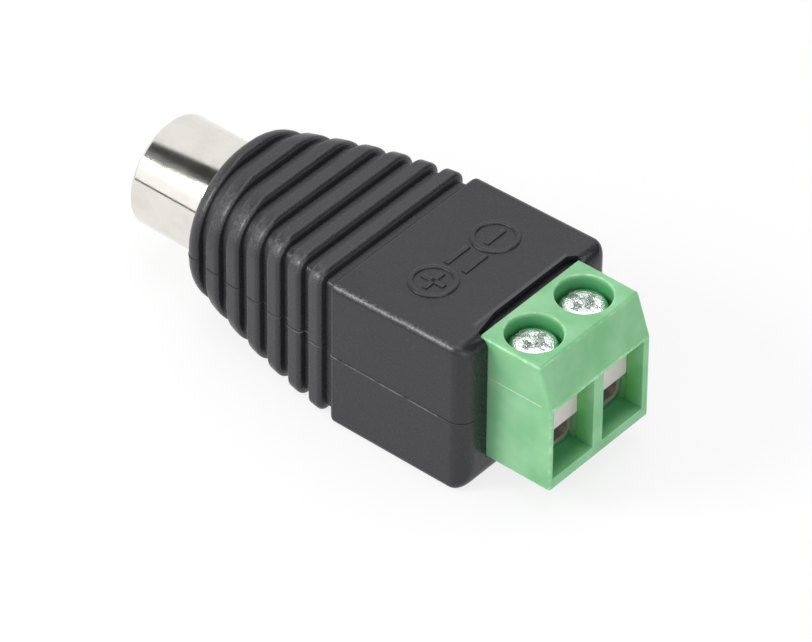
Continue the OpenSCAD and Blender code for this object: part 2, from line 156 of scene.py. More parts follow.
def activate(obj: Piece) -> None:
    """Makes one object the only selected one, and the active one."""
    deselect()
    obj.select_set(True)
    bpy.context.view_layer.objects.active = obj


def settle(name: str) -> Piece:
    """Names the primitive just added and applies its place.

    Args:
        name: the piece's name.

    Returns:
        The object, at the origin.
    """
    obj = bpy.context.object
    obj.name = obj.data.name = name
    bpy.ops.object.transform_apply(location=True, rotation=True, scale=True)
    return obj


def box(name: str, low: Point, high: Point) -> Piece:
    """Adds a box between two corners.

    Args:
        name: the piece's name.
        low: lowest corner.
        high: highest corner.

    Returns:
        The box, with its place in its mesh.
    """
    deselect()
    a, b = Vector(low), Vector(high)
    bpy.ops.mesh.primitive_cube_add(size=1, location=(a + b) / 2, scale=b - a)
    return settle(name)


def slab(name: str, x: Span, half: float, z: Span, y: float = 0.0) -> Piece:
    """Adds a box that reaches as far to either side of y.

    Args:
        name: the piece's name.
        x: where it starts and ends along X.
        half: half its width.
        z: its lowest and highest place.
        y: its middle.

    Returns:
        The box, with its place in its mesh.
    """
    return box(name, (x[0], y - half, z[0]), (x[1], y + half, z[1]))


class Edit:
    """Edit mode on one object, with its parts picked by their place."""

    def __init__(self, obj: Piece) -> None:
        """Keeps the object that is edited."""
        self.obj = obj

    def __enter__(self) -> "Edit":
        """Enters edit mode with nothing selected."""
        activate(self.obj)
        bpy.ops.object.mode_set(mode="EDIT")
        bpy.ops.mesh.select_mode(type="VERT")
        bpy.ops.mesh.select_all(action="DESELECT")
        return self

    def __exit__(self, *trouble: object) -> None:
        """Leaves edit mode."""
        bpy.ops.object.mode_set(mode="OBJECT")

    def _pick(self, mode: str, test: Callable[[object], bool]) -> None:
        """Selects the edges or vertices that pass a test, and nothing else."""
        bpy.ops.mesh.select_mode(type=mode)
        bpy.ops.mesh.select_all(action="DESELECT")
        mesh = bmesh.from_edit_mesh(self.obj.data)
        for part in {"EDGE": mesh.edges, "VERT": mesh.verts}[mode]:
            if test(part):
                part.select_set(True)
        mesh.select_flush_mode()
        bmesh.update_edit_mesh(self.obj.data)

    def edges(self, test: Callable[[Vector, Vector], bool]) -> None:
        """Selects the edges whose two ends pass a test."""
        self._pick("EDGE", lambda e: test(e.verts[0].co, e.verts[1].co))

    def points(self, test: Callable[[Vector], bool]) -> None:
        """Selects the vertices that pass a test."""
        self._pick("VERT", lambda v: test(v.co))

    def everything(self) -> None:
        """Selects the whole mesh."""
        bpy.ops.mesh.select_all(action="SELECT")

    def bevel(self, width: float, steps: int, corners: bool = False) -> None:
        """Rounds the selected edges, or the selected corners."""
        bpy.ops.mesh.bevel(offset=width, segments=steps, affect="VERTICES" if corners else "EDGES")

    def extrude(self, step: Point) -> None:
        """Extrudes the selection by a step."""
        bpy.ops.mesh.extrude_region_move(TRANSFORM_OT_translate={"value": step})

    def slice_off(self, place: Point, outwards: Point) -> None:
        """Cuts off what lies outwards of a plane, and closes the cut."""
        self.everything()
        bpy.ops.mesh.bisect(plane_co=place, plane_no=Vector(outwards).normalized(),
                            use_fill=True, clear_outer=True)

    def tidy(self) -> None:
        """Merges doubles and turns every face outwards."""
        self.everything()
        bpy.ops.mesh.remove_doubles(threshold=SAME)
        bpy.ops.mesh.normals_make_consistent(inside=False)

    def open_loops(self) -> None:
        """Selects the loops of edges that have one face or none."""
        bpy.ops.mesh.select_mode(type="EDGE")
        bpy.ops.mesh.select_all(action="DESELECT")
        bpy.ops.mesh.select_non_manifold(extend=False, use_multi_face=False,
                                         use_non_contiguous=False, use_verts=False)


def turned(name: str, axis: Axis, centre: Point, profile: Sequence[Span],
           hollow: bool = False, sides: int = 96) -> Piece:
    """Turns a profile: a circle is extruded from point to point and sized at each.

    Args:
        name: the piece's name.
        axis: direction of the axis.
        centre: a point on the axis.
        profile: [place along the axis, radius] points.
        hollow: whether the profile is a closed outline round a bore.
        sides: flats of the circle.

    Returns:
        The turned piece.
    """
    deselect()
    along = Vector((1, 0, 0)) if axis is Axis.X else Vector((0, 0, 1))
    base = Vector(centre) - along * Vector(centre).dot(along)
    place, radius = profile[0]
    bpy.ops.mesh.primitive_circle_add(vertices=sides, radius=radius, location=base + along * place,
                                      rotation=axis.value)
    obj = settle(name)
    with Edit(obj) as edit:
        edit.everything()
        if not hollow:
            bpy.ops.mesh.edge_face_add()
        for (x0, r0), (x1, r1) in zip(profile, profile[1:]):
            edit.extrude(tuple(along * (x1 - x0)))
            scale = [1 if a else r1 / r0 for a in along]
            bpy.ops.transform.resize(value=scale, center_override=base + along * x1)
        if hollow:
            edit.open_loops()
            bpy.ops.mesh.bridge_edge_loops()
        edit.tidy()
    return obj


def modify(obj: Piece, kind: str, **settings: object) -> None:
    """Adds a modifier and applies it.

    Args:
        obj: the piece.
        kind: the modifier's type.
        settings: its properties.
    """
    activate(obj)
    modifier = obj.modifiers.new(kind.lower(), kind)
    for key, value in settings.items():
        setattr(modifier, key, value)
    bpy.ops.object.modifier_apply(modifier=modifier.name)


def cut(obj: Piece, *tools: Piece) -> None:
    """Takes tools out of a piece and deletes them.

    Args:
        obj: the piece.
        tools: closed meshes.
    """
    for tool in tools:
        modify(obj, "BOOLEAN", operation="DIFFERENCE", solver="EXACT", object=tool)
        bpy.data.objects.remove(tool)


def join(name: str, parts: Sequence[Piece]) -> Piece:
    """Joins meshes into one piece.

    Args:
        name: the piece's name.
        parts: the meshes, whose places are applied.

    Returns:
        The joined piece.
    """
    activate(parts[0])
    for part in parts[1:]:
        part.select_set(True)
    bpy.ops.object.join()
    obj = bpy.context.object
    obj.name = obj.data.name = name
    return obj


def soften(obj: Piece, width: float, steps: int = 2, angle: float = 35) -> None:
    """Rounds every edge sharper than an angle with a bevel modifier, and applies it.

    Args:
        obj: the piece.
        width: width of the rounding.
        steps: segments of the rounding.
        angle: edges sharper than this are rounded, in degrees.
    """
    modify(obj, "BEVEL", width=width, segments=steps, limit_method="ANGLE",
           angle_limit=math.radians(angle), harden_normals=False)


def copied(obj: Piece, name: str, step: Point) -> Piece:
    """Copies a piece with its own mesh, shifted by a step.

    Args:
        obj: the piece.
        name: the copy's name.
        step: the shift.

    Returns:
        The copy.
    """
    twin = obj.copy()
    twin.data = obj.data.copy()
    twin.name = twin.data.name = name
    bpy.context.scene.collection.objects.link(twin)
    twin.data.transform(Matrix.Translation(Vector(step)))
    return twin


@dataclass
class Placing:
    """Where a finished piece belongs: its body, its material slot and the nodes it stands for."""

    body: str
    slot: str
    nodes: tuple[str, ...] = ()


def finish_piece(obj: Piece, place: Placing, material: bpy.types.Material,
                 smooth: float = 35) -> None:
    """Turns a piece to metres, smooths and dresses it, and puts it on its body.

    Args:
        obj: the piece, in millimetres.
        place: its body, slot and replaced nodes.
        material: its finish.
        smooth: edges flatter than this are smoothed, in degrees.
    """
    activate(obj)
    obj.data.transform(Matrix.Scale(MM, 4))
    bpy.ops.object.shade_smooth_by_angle(angle=math.radians(smooth))
    modify(obj, "WEIGHTED_NORMAL", keep_sharp=True)
    obj.data.materials.clear()
    obj.data.materials.append(material)
    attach(obj, place.body)
    if place.nodes:
        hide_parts(*place.nodes)
    LOG.info("%s: %d faces on %s", obj.name, len(obj.data.polygons), place.body)


# ---- finishes


def operator(operation: str, reflected: bool = False) -> Callable[..., "Shade"]:
    """Makes the method behind one of Python's operators.

    Args:
        operation: the Math node's operation.
        reflected: whether the other value comes first.

    Returns:
        The method.
    """
    def method(self: "Shade", other: "Shade | float") -> "Shade":
        """Adds the Math node on both values."""
        pair = [other, self] if reflected else [self, other]
        return self.nodes.add("ShaderNodeMath", {"operation": operation}, pair)
    return method


class Shade:
    """A shader socket that Python's operators turn into Math nodes."""

    __add__ = __radd__ = operator("ADD")
    __sub__, __rsub__ = operator("SUBTRACT"), operator("SUBTRACT", reflected=True)
    __mul__ = __rmul__ = operator("MULTIPLY")
    __truediv__ = operator("DIVIDE")

    def __init__(self, nodes: "Nodes", socket: bpy.types.NodeSocket) -> None:
        """Keeps the tree and the socket."""
        self.nodes = nodes
        self.socket = socket

    def math(self, operation: str, *others: "Shade | float") -> "Shade":
        """A Math node on this socket and up to two more values."""
        return self.nodes.add("ShaderNodeMath", {"operation": operation}, [self, *others])

    def clamp(self) -> "Shade":
        """The value held between 0 and 1."""
        return self.nodes.add("ShaderNodeClamp", {}, [self])

    def step(self, low: float, high: float) -> "Shade":
        """A soft step from 0 at low to 1 at high."""
        return self.nodes.add("ShaderNodeMapRange", {"interpolation_type": "SMOOTHSTEP"},
                              [self, low, high, 0.0, 1.0])

    def within(self, rise: Span, fall: Span) -> "Shade":
        """1 between two soft steps, else 0."""
        return self.step(*rise) * (1 - self.step(*fall))


Value = Shade | float | Sequence[float]


class Nodes:
    """The node tree of a material or a world, with one call for every kind of node."""

    def __init__(self, name: str, world: bool = False) -> None:
        """Makes the material or the world with an empty tree."""
        self.owner = (bpy.data.worlds if world else bpy.data.materials).new(name)
        self.owner.use_nodes = True
        self.tree = self.owner.node_tree
        self.tree.nodes.clear()
        self.place = self.add("ShaderNodeTexCoord", {}, [], out="Object")

    def add(self, kind: str, settings: dict[str, object],
            inputs: Sequence[Value] | dict[str | int, Value], out: str | int = 0) -> Shade:
        """Adds a node.

        Args:
            kind: the node's type.
            settings: its properties, set first.
            inputs: values or links, in the order of its sockets or by their names or numbers.
            out: the output that is returned.

        Returns:
            The output socket.
        """
        node = self.tree.nodes.new(kind)
        for key, value in settings.items():
            setattr(node, key, value)
        pairs = inputs.items() if isinstance(inputs, dict) else enumerate(inputs)
        for key, value in pairs:
            self.feed(node.inputs[key], value)
        return Shade(self, node.outputs[out] if len(node.outputs) else node.inputs[0])

    def feed(self, socket: bpy.types.NodeSocket, value: Value) -> None:
        """Sets a socket, or links one to it."""
        if isinstance(value, Shade):
            self.tree.links.new(value.socket, socket)
        elif isinstance(value, (int, float)):
            socket.default_value = value
        else:
            socket.default_value = (*value, 1.0) if socket.type == "RGBA" else value

    def noise(self, spec: Noise) -> Shade:
        """Adds a noise on the object's own place."""
        spot = self.place
        if spec.stretch != (1, 1, 1):
            spot = self.add("ShaderNodeMapping", {}, {"Vector": self.place, "Scale": spec.stretch})
        return self.add("ShaderNodeTexNoise", {}, {"Vector": spot, "Scale": 1 / (spec.size * MM),
                                                   "Detail": spec.detail, "Roughness": spec.rough})

    def along(self) -> list[Shade]:
        """The object's X, Y and Z in millimetres."""
        split = self.add("ShaderNodeSeparateXYZ", {}, [self.place])
        node = split.socket.node
        return [Shade(self, node.outputs[i]) * (1 / MM) for i in range(3)]

    def blend(self, share: Value, first: Value, second: Value) -> Shade:
        """A colour between two, through a Mix node."""
        return self.add("ShaderNodeMix", {"data_type": "RGBA"}, {0: share, 6: first, 7: second}, out=2)

    def bump(self, height: Value, depth: float, before: Shade | None = None) -> Shade:
        """A bumped normal; depth is the relief in millimetres."""
        inputs: dict[str, Value] = {"Height": height, "Distance": depth * MM, "Strength": 1.0}
        if before:
            inputs["Normal"] = before
        return self.add("ShaderNodeBump", {}, inputs)

    def finish(self, **sockets: Value) -> bpy.types.Material:
        """Adds the shader; a socket's name has _ for its spaces."""
        named = {key.replace("_", " "): value for key, value in sockets.items()}
        shader = self.add("ShaderNodeBsdfPrincipled", {}, named)
        self.add("ShaderNodeOutputMaterial", {}, [shader])
        return self.owner


@dataclass(frozen=True)
class Moulding:
    """Matte moulded plastic with the grain of its mould.

    A span is where a noise fades in; the last four sizes say how far each noise moves the roughness.
    """

    name: str
    colour: Colour
    pale: Colour
    rough: float
    grain: float = 0.16
    relief: float = 0.008
    specular: float = 0.5
    # Colour of worn patches; in the grip, the colour of its painted highlights.
    rubbed_and_highlight: Colour = (0.8, 0.8, 0.78)
    worn_and_highlight: Noise = Noise(0.9, 3, 0.6)
    worn_span: Span = (0.66, 0.85)
    worn_share: float = 0.2
    patch: Noise = Noise(3.5, 3, 0.55)
    patch_relief: float = 0.01
    tint_span: Span = (0.3, 0.75)
    scuff: Noise = Noise(0.7, 4, 0.7, (1, 0.35, 1))
    scuff_span: Span = (0.62, 0.8)
    pit_size: float = 1.3
    pit_span: Span = (0.56, 0.68)
    pit_height: float = 0.6
    patch_rough: float = 0.16
    grain_rough: float = 0.12
    scuff_rough: float = 0.08
    pit_rough: float = 0.16

    def wear_and_highlight(self, nodes: Nodes) -> Shade:
        """Faint rubbed patches all over."""
        return nodes.noise(self.worn_and_highlight).step(*self.worn_span) * self.worn_share

    def build(self) -> bpy.types.Material:
        """Makes the material."""
        nodes = Nodes(self.name)
        grain = nodes.noise(Noise(self.grain, 3, 0.6))
        patch = nodes.noise(self.patch)
        scuff = nodes.noise(self.scuff).step(*self.scuff_span)
        pits = nodes.noise(Noise(self.grain * self.pit_size)).step(*self.pit_span)
        tint = (grain * HALF + patch * HALF).step(*self.tint_span)
        # Worn patches here; the grip's own mask lays painted highlights in this blend instead.
        colour = nodes.blend(self.wear_and_highlight(nodes), nodes.blend(tint, self.colour, self.pale), self.rubbed_and_highlight)
        rough = (self.rough + (patch - HALF) * self.patch_rough + (grain - HALF) * self.grain_rough
                 - scuff * self.scuff_rough - pits * self.pit_rough)
        waves = nodes.bump(patch, self.patch_relief)
        return nodes.finish(Base_Color=colour, Roughness=rough, Specular_IOR_Level=self.specular,
                            Normal=nodes.bump(grain + pits * self.pit_height, self.relief, waves))


@dataclass(frozen=True)
class Grip(Moulding):
    """Charcoal moulding with painted highlights in broken patches on the block's upper edges, the ribs'
    corners and the groove's brink, and a faint painted sheen over the ribbed nose.

    A span of x, y or z is where one of these fades in or out. Heights are over the block's top, and
    the ribs' reach is measured over the flat across their rounded corners.
    """

    layout: Layout = Layout()
    # Where the painted highlights lie, and how strong each one is.
    corner_cut: float = 0.586
    edge_y: Span = (6.95, 7.3)
    edge_z: Span = (-0.4, -0.1)
    edge_x: tuple[Span, Span] = ((1.6, 2.2), (11.5, 12.6))
    rib_reach: Span = (-0.75, -0.1)
    ribs_x: tuple[Span, Span] = ((-12.0, -11.0), (1.2, 1.9))
    brink_y: Span = (4.4, 5.0)
    brink_z: Span = (-0.3, -0.1)
    brink_x: tuple[Span, Span] = ((11.62, 11.8), (11.92, 12.0))
    breaks: Noise = Noise(0.22, 3, 0.7)
    break_span: Span = (0.38, 0.62)
    edge_least: float = 0.15
    rib_share: float = 0.3
    nose_share: float = 0.1
    brink_share: float = 0.3

    def wear_and_highlight(self, nodes: Nodes) -> Shade:
        """Painted highlight mask: 0 on the block's faces, rising towards 1 in broken patches along the
        edges, with a faint painted sheen over the ribbed nose.
        """
        lay = self.layout
        x, y, z = nodes.along()
        side = y.math("ABSOLUTE")
        over = z - lay.block_top(x)
        # painted highlight along the block's upper side edges
        edge = side.step(*self.edge_y) * over.step(*self.edge_z) * x.within(*self.edge_x)
        share = ((x - lay.nose_x) / (lay.block_x - lay.nose_x)).clamp()
        fade = (1 - share).math("POWER", lay.corner_fade)
        corner = lay.last_corner + (lay.nose_corner - lay.last_corner) * fade
        half = lay.nose_half + (lay.block_half - lay.nose_half) * share
        flat = lay.axis_z + half - self.corner_cut * corner
        reach = side + (z - lay.axis_z).math("ABSOLUTE") - flat
        # painted highlight on the ribs' upper corners
        ribs = reach.step(*self.rib_reach) * x.within(*self.ribs_x)
        broken = nodes.noise(self.breaks).step(*self.break_span)
        # painted highlight line along the brink of the groove behind the housing
        brink = x.within(*self.brink_x) * (1 - side.step(*self.brink_y)) * over.step(*self.brink_z)
        # faint painted sheen over the whole ribbed nose
        nose = 1 - x.step(*self.ribs_x[1])
        edge = edge * (self.edge_least + (1 - self.edge_least) * broken)
        return edge + ribs * broken * self.rib_share + nose * self.nose_share + brink * self.brink_share


@dataclass(frozen=True)
class WitnessLine:
    """Edge where the mould's halves met, scraped: dull on the ribs, pale on the block, that paleness partly
    scraped plastic and partly a painted highlight on the bead.
    """

    name: str
    dark: Colour
    pale: Colour
    pale_x: tuple[Span, Span] = ((-9, 3), (10.5, 12.3))
    torn: Noise = Noise(0.8, 3, 0.6)
    torn_span: Span = (0.35, 0.6)
    grain: Noise = Noise(0.15)
    relief: float = 0.01
    rough: float = 0.35
    grain_rough: float = 0.25

    def build(self) -> bpy.types.Material:
        """Makes the material."""
        nodes = Nodes(self.name)
        # Pale on the block: partly scraped plastic, partly a painted highlight on the bead.
        share = nodes.along()[0].within(*self.pale_x) * nodes.noise(self.torn).step(*self.torn_span)
        grain = nodes.noise(self.grain)
        return nodes.finish(Base_Color=nodes.blend(share, self.dark, self.pale),
                            Roughness=self.rough + grain * self.grain_rough,
                            Normal=nodes.bump(grain, self.relief))


@dataclass(frozen=True)
class Terminal:
    """Semi-gloss green moulding, slightly translucent, with painted highlights along its rims and painted
    shade down its wells and entries.
    """

    name: str
    colour: Colour
    pale: Colour
    # Colours of the painted shade: the darker one down the wells, in the cells and on the entries' floor,
    # the lighter one in the entry passages.
    deep_shade: Colour
    entry: Colour
    # Colour of the painted highlights along the rims.
    worn_and_highlight: Colour = (0.5, 0.8, 0.52)
    layout: Layout = Layout()
    entry_shift: float = 0.2
    # Where the painted shade of the wells and entries lies.
    well_wall: Span = (1.99, 2.05)
    well_z: Span = (11.5, 12.0)
    entry_y: Span = (2.08, 2.16)
    entry_z: tuple[Span, Span] = ((2.88, 2.93), (8.76, 8.82))
    entry_x: Span = (17.6, 18.66)
    floor_x: Span = (16.8, 17.2)
    floor_z: Span = (3.0, 3.4)
    # Where the painted rim highlights lie.
    side_y: Span = (4.86, 4.98)
    top_z: Span = (11.78, 11.92)
    slope_run: float = 0.33
    slope_edge: Span = (21.46, 21.56)
    lip_x: Span = (18.48, 18.62)
    rim_r: tuple[Span, Span] = ((1.93, 1.99), (2.02, 2.1))
    rim_z: Span = (11.8, 11.9)
    brow_z: tuple[Span, Span] = ((8.6, 8.75), (8.9, 9.05))
    cloud: Noise = Noise(2.4)
    cloud_span: Span = (0.25, 0.75)
    cloud_relief: float = 0.012
    cloud_rough: float = 0.12
    grain: Noise = Noise(0.12)
    grain_relief: float = 0.0025
    grain_rough: float = 0.1
    rough: float = 0.36
    # Noise that breaks up the painted rim highlights, and their least and added strength.
    highlight_noise: Noise = Noise(0.5, 2, 0.6)
    highlight_span: Span = (0.4, 0.75)
    highlight_shares: Span = (0.1, 0.55)
    milky: float = 0.35
    milky_radius: Point = (0.5, 1.0, 0.5)
    milky_m: float = 0.0012

    def well_radius(self, x: Shade, y: Shade) -> Shade:
        """Distance from the nearer screw's axis."""
        across, ahead = y.math("ABSOLUTE") - self.layout.pole_y, x - self.layout.screw_x
        return (across * across + ahead * ahead).math("SQRT")

    def inside(self, nodes: Nodes) -> Shade:
        """Painted shade mask: 0 on the outer faces, rising to 1 down the wells and into the entries."""
        x, y, z = nodes.along()
        well = (1 - self.well_radius(x, y).step(*self.well_wall)) * (1 - z.step(*self.well_z))
        aside = ((y + self.entry_shift).math("ABSOLUTE") - self.layout.pole_y).math("ABSOLUTE")
        entry = (1 - aside.step(*self.entry_y)) * z.within(*self.entry_z)
        return well.math("MAXIMUM", entry * (1 - x.step(*self.entry_x)))

    def rim_highlights(self, nodes: Nodes) -> Shade:
        """Painted highlight mask: 1 along the outer edges, well mouths and entry edges, else 0."""
        x, y, z = nodes.along()
        side, top, lip = y.math("ABSOLUTE").step(*self.side_y), z.step(*self.top_z), x.step(*self.lip_x)
        slope = (z * self.slope_run + x).step(*self.slope_edge)
        well = self.well_radius(x, y).within(*self.rim_r) * z.step(*self.rim_z)
        edges = (side * top).math("MAXIMUM", side * lip).math("MAXIMUM", top * slope)
        return edges.math("MAXIMUM", well).math("MAXIMUM", lip * z.within(*self.brow_z))

    def build(self) -> bpy.types.Material:
        """Makes the material."""
        nodes = Nodes(self.name)
        cloud, grain = nodes.noise(self.cloud), nodes.noise(self.grain)
        outer = nodes.blend(cloud.step(*self.cloud_span), self.colour, self.pale)
        # Painted highlights along the rims, broken up by noise.
        least, more = self.highlight_shares
        rubbed_and_highlight = self.rim_highlights(nodes) * (least + more * nodes.noise(self.highlight_noise).step(*self.highlight_span))
        worn_and_highlight = nodes.blend(rubbed_and_highlight, outer, self.worn_and_highlight)
        x, _, z = nodes.along()
        # Painted shade: darkest down the wells, in the cells and on the entries' floor, less dark in the
        # entry passages.
        within = nodes.blend(x.step(*self.floor_x) * z.step(*self.floor_z), self.deep_shade, self.entry)
        colour = nodes.blend(self.inside(nodes), worn_and_highlight, within)
        rough = self.rough + (cloud - HALF) * self.cloud_rough + (grain - HALF) * self.grain_rough
        waves = nodes.bump(cloud, self.cloud_relief)
        return nodes.finish(Base_Color=colour, Roughness=rough, Subsurface_Weight=self.milky,
                            Subsurface_Radius=self.milky_radius, Subsurface_Scale=self.milky_m,
                            Normal=nodes.bump(grain, self.grain_relief, waves))


@dataclass(frozen=True)
class Metal:
    """Plated or bare metal with fine lines and tarnish."""

    name: str
    colour: Colour
    dull: Colour
    rough: float
    grain: Grain = Grain.PLATED
    relief: float = 0.001
    metallic: float = 1.0
    least_rough: float = 0.06
    patch: Noise = Noise(1.6, 3, 0.6)
    patch_span: Span = (0.35, 0.75)
    spots: Noise = Noise(0.22, 4, 0.7)
    spot_span: Span = (0.64, 0.8)
    shares: Span = (0.6, 0.4)
    patch_rough: float = 0.1
    line_rough: float = 0.08
    spot_rough: float = 0.1
    spot_height: float = 0.6

    def tone(self, nodes: Nodes, plated: Shade) -> tuple[Shade, Value]:
        """The plated colour and its share of metal, as they are or changed over the piece."""
        return plated, self.metallic

    def build(self) -> bpy.types.Material:
        """Makes the material."""
        nodes = Nodes(self.name)
        lines, patch = nodes.noise(self.grain.value), nodes.noise(self.patch)
        spots = nodes.noise(self.spots).step(*self.spot_span)
        tarnish = patch.step(*self.patch_span) * self.shares[0] + spots * self.shares[1]
        plated = nodes.blend(tarnish.clamp(), self.colour, self.dull)
        rough = (self.rough + (patch - HALF) * self.patch_rough + (lines - HALF) * self.line_rough
                 + spots * self.spot_rough)
        colour, metallic = self.tone(nodes, plated)
        return nodes.finish(Base_Color=colour, Metallic=metallic,
                            Roughness=rough.math("MAXIMUM", self.least_rough),
                            Normal=nodes.bump(lines + spots * self.spot_height, self.relief))


@dataclass(frozen=True)
class CageMetal(Metal):
    """Zinc on a cage's outside and rim, with brownish painted shade inside the fold, where it is also less
    metallic.
    """

    # Colour of the painted shade inside the fold, and how much metal it takes away.
    fold_shade: Colour = (0.3, 0.26, 0.23)
    metal_lost: float = 0.75
    pole_y: float = Layout.pole_y
    fold_r: float = 0.9
    fold_y: float = 1.075
    fold_z: float = 3.95
    skin: Span = (0.12, 0.2)
    clean_z: Span = (6.0, 6.3)

    def tone(self, nodes: Nodes, plated: Shade) -> tuple[Shade, Value]:
        """Painted shade where the sheet is deeper than its outer skin, below its top."""
        _, y, z = nodes.along()
        across = ((y.math("ABSOLUTE") - self.pole_y).math("ABSOLUTE") - self.fold_y).math("MAXIMUM", 0.0)
        down = (self.fold_z - z).math("MAXIMUM", 0.0)
        deep_shade = self.fold_r - (across * across + down * down).math("SQRT")
        share = deep_shade.step(*self.skin) * (1 - z.step(*self.clean_z))
        return nodes.blend(share, plated, self.fold_shade), 1 - share * self.metal_lost


@dataclass(frozen=True)
class Sheath:
    """Soft extruded insulation with faint length lines."""

    name: str
    colour: Colour
    pale: Colour
    lines: Noise = Noise(0.12, stretch=(0.05, 1, 1))
    patch: Noise = Noise(1.2)
    patch_span: Span = (0.3, 0.7)
    rough: float = 0.45
    line_rough: float = 0.15
    relief: float = 0.004

    def build(self) -> bpy.types.Material:
        """Makes the material."""
        nodes = Nodes(self.name)
        lines, patch = nodes.noise(self.lines), nodes.noise(self.patch)
        return nodes.finish(Base_Color=nodes.blend(patch.step(*self.patch_span), self.colour, self.pale),
                            Roughness=self.rough + (lines - HALF) * self.line_rough,
                            Normal=nodes.bump(lines, self.relief))


FINISHES = {
    # The grip's last colour is its painted highlight on edges, rib corners and the groove's brink.
    "overmould": Grip("charcoal_moulding", (0.0085, 0.0085, 0.0115), (0.0145, 0.0145, 0.019), 0.36,
                      0.16, 0.009, 0.5, (0.13, 0.13, 0.14)),
    # The witness line's pale colour is partly a painted highlight on the bead.
    "witness_line": WitnessLine("witness_line", (0.02, 0.02, 0.022), (0.13, 0.13, 0.135)),
    "premould": Moulding("natural_premould", (0.66, 0.64, 0.55), (0.74, 0.72, 0.63), 0.5, 0.3, 0.004),
    "nickel": Metal("bright_nickel", (0.80, 0.775, 0.73), (0.70, 0.67, 0.61), 0.1, Grain.TURNED),
    "insulator": Moulding("white_insulator", (0.8, 0.8, 0.78), (0.86, 0.86, 0.84), 0.35, 0.3, 0.003),
    "contact_brass": Metal("spring_brass", (0.82, 0.68, 0.38), (0.7, 0.55, 0.28), 0.22, Grain.TURNED),
    "tinned": Metal("tinned_strip", (0.74, 0.69, 0.675), (0.62, 0.575, 0.56), 0.5, Grain.ROLLED,
                    0.002, 0.2),
    # The housing's last two colours are its painted shade in the wells and entries.
    "green_plastic": Terminal("green_moulding", (0.175, 0.465, 0.215), (0.27, 0.56, 0.31),
                              (0.08, 0.36, 0.14), (0.12, 0.45, 0.12)),
    # A paler flash line along the housing's sides: partly whitened thin plastic, partly a painted highlight
    # on the bead.
    "green_flash": Terminal("green_flash", (0.42, 0.72, 0.44), (0.5, 0.78, 0.52), (0.4, 0.7, 0.42),
                            (0.4, 0.7, 0.42)),
    "cage_steel": CageMetal("zinc_cage", (0.85, 0.83, 0.8), (0.6, 0.58, 0.56), 0.3, Grain.ROLLED, 0.002),
    "screw_zinc": Metal("zinc_screw", (0.88, 0.9, 0.89), (0.46, 0.5, 0.48), 0.13, Grain.PLATED, 0.06),
    "copper": Metal("bare_copper", (0.83, 0.45, 0.29), (0.65, 0.33, 0.2), 0.3, Grain.ROLLED),
    "sleeve_red": Sheath("red_sleeve", (0.42, 0.02, 0.015), (0.52, 0.04, 0.03)),
    "sleeve_black": Sheath("black_sleeve", (0.02, 0.02, 0.022), (0.035, 0.035, 0.037)),
    "solder": Metal("bright_solder", (0.66, 0.67, 0.69), (0.5, 0.51, 0.53), 0.28, Grain.PLATED, 0.006),
}


class Wardrobe:
    """Makes each finish once and hands it out by its slot."""

    def __init__(self) -> None:
        """Starts empty."""
        self.made: dict[str, bpy.types.Material] = {}

    def get(self, slot: str) -> bpy.types.Material:
        """The material of a slot, made when it is first asked for."""
        if slot not in self.made:
            self.made[slot] = FINISHES[slot].build()
        return self.made[slot]


# ---- the part's sub-assemblies


def quarter(steps: int) -> list[float]:
    """Angles over a quarter turn, in equal steps."""
    return [math.pi / 2 * k / steps for k in range(steps + 1)]


def fallen(share: float) -> float:
    """Fall of a quarter round at a share of its run, both held between 0 and 1."""
    share = min(1.0, max(0.0, share))
    return 1 - math.sqrt(1 - share * share)


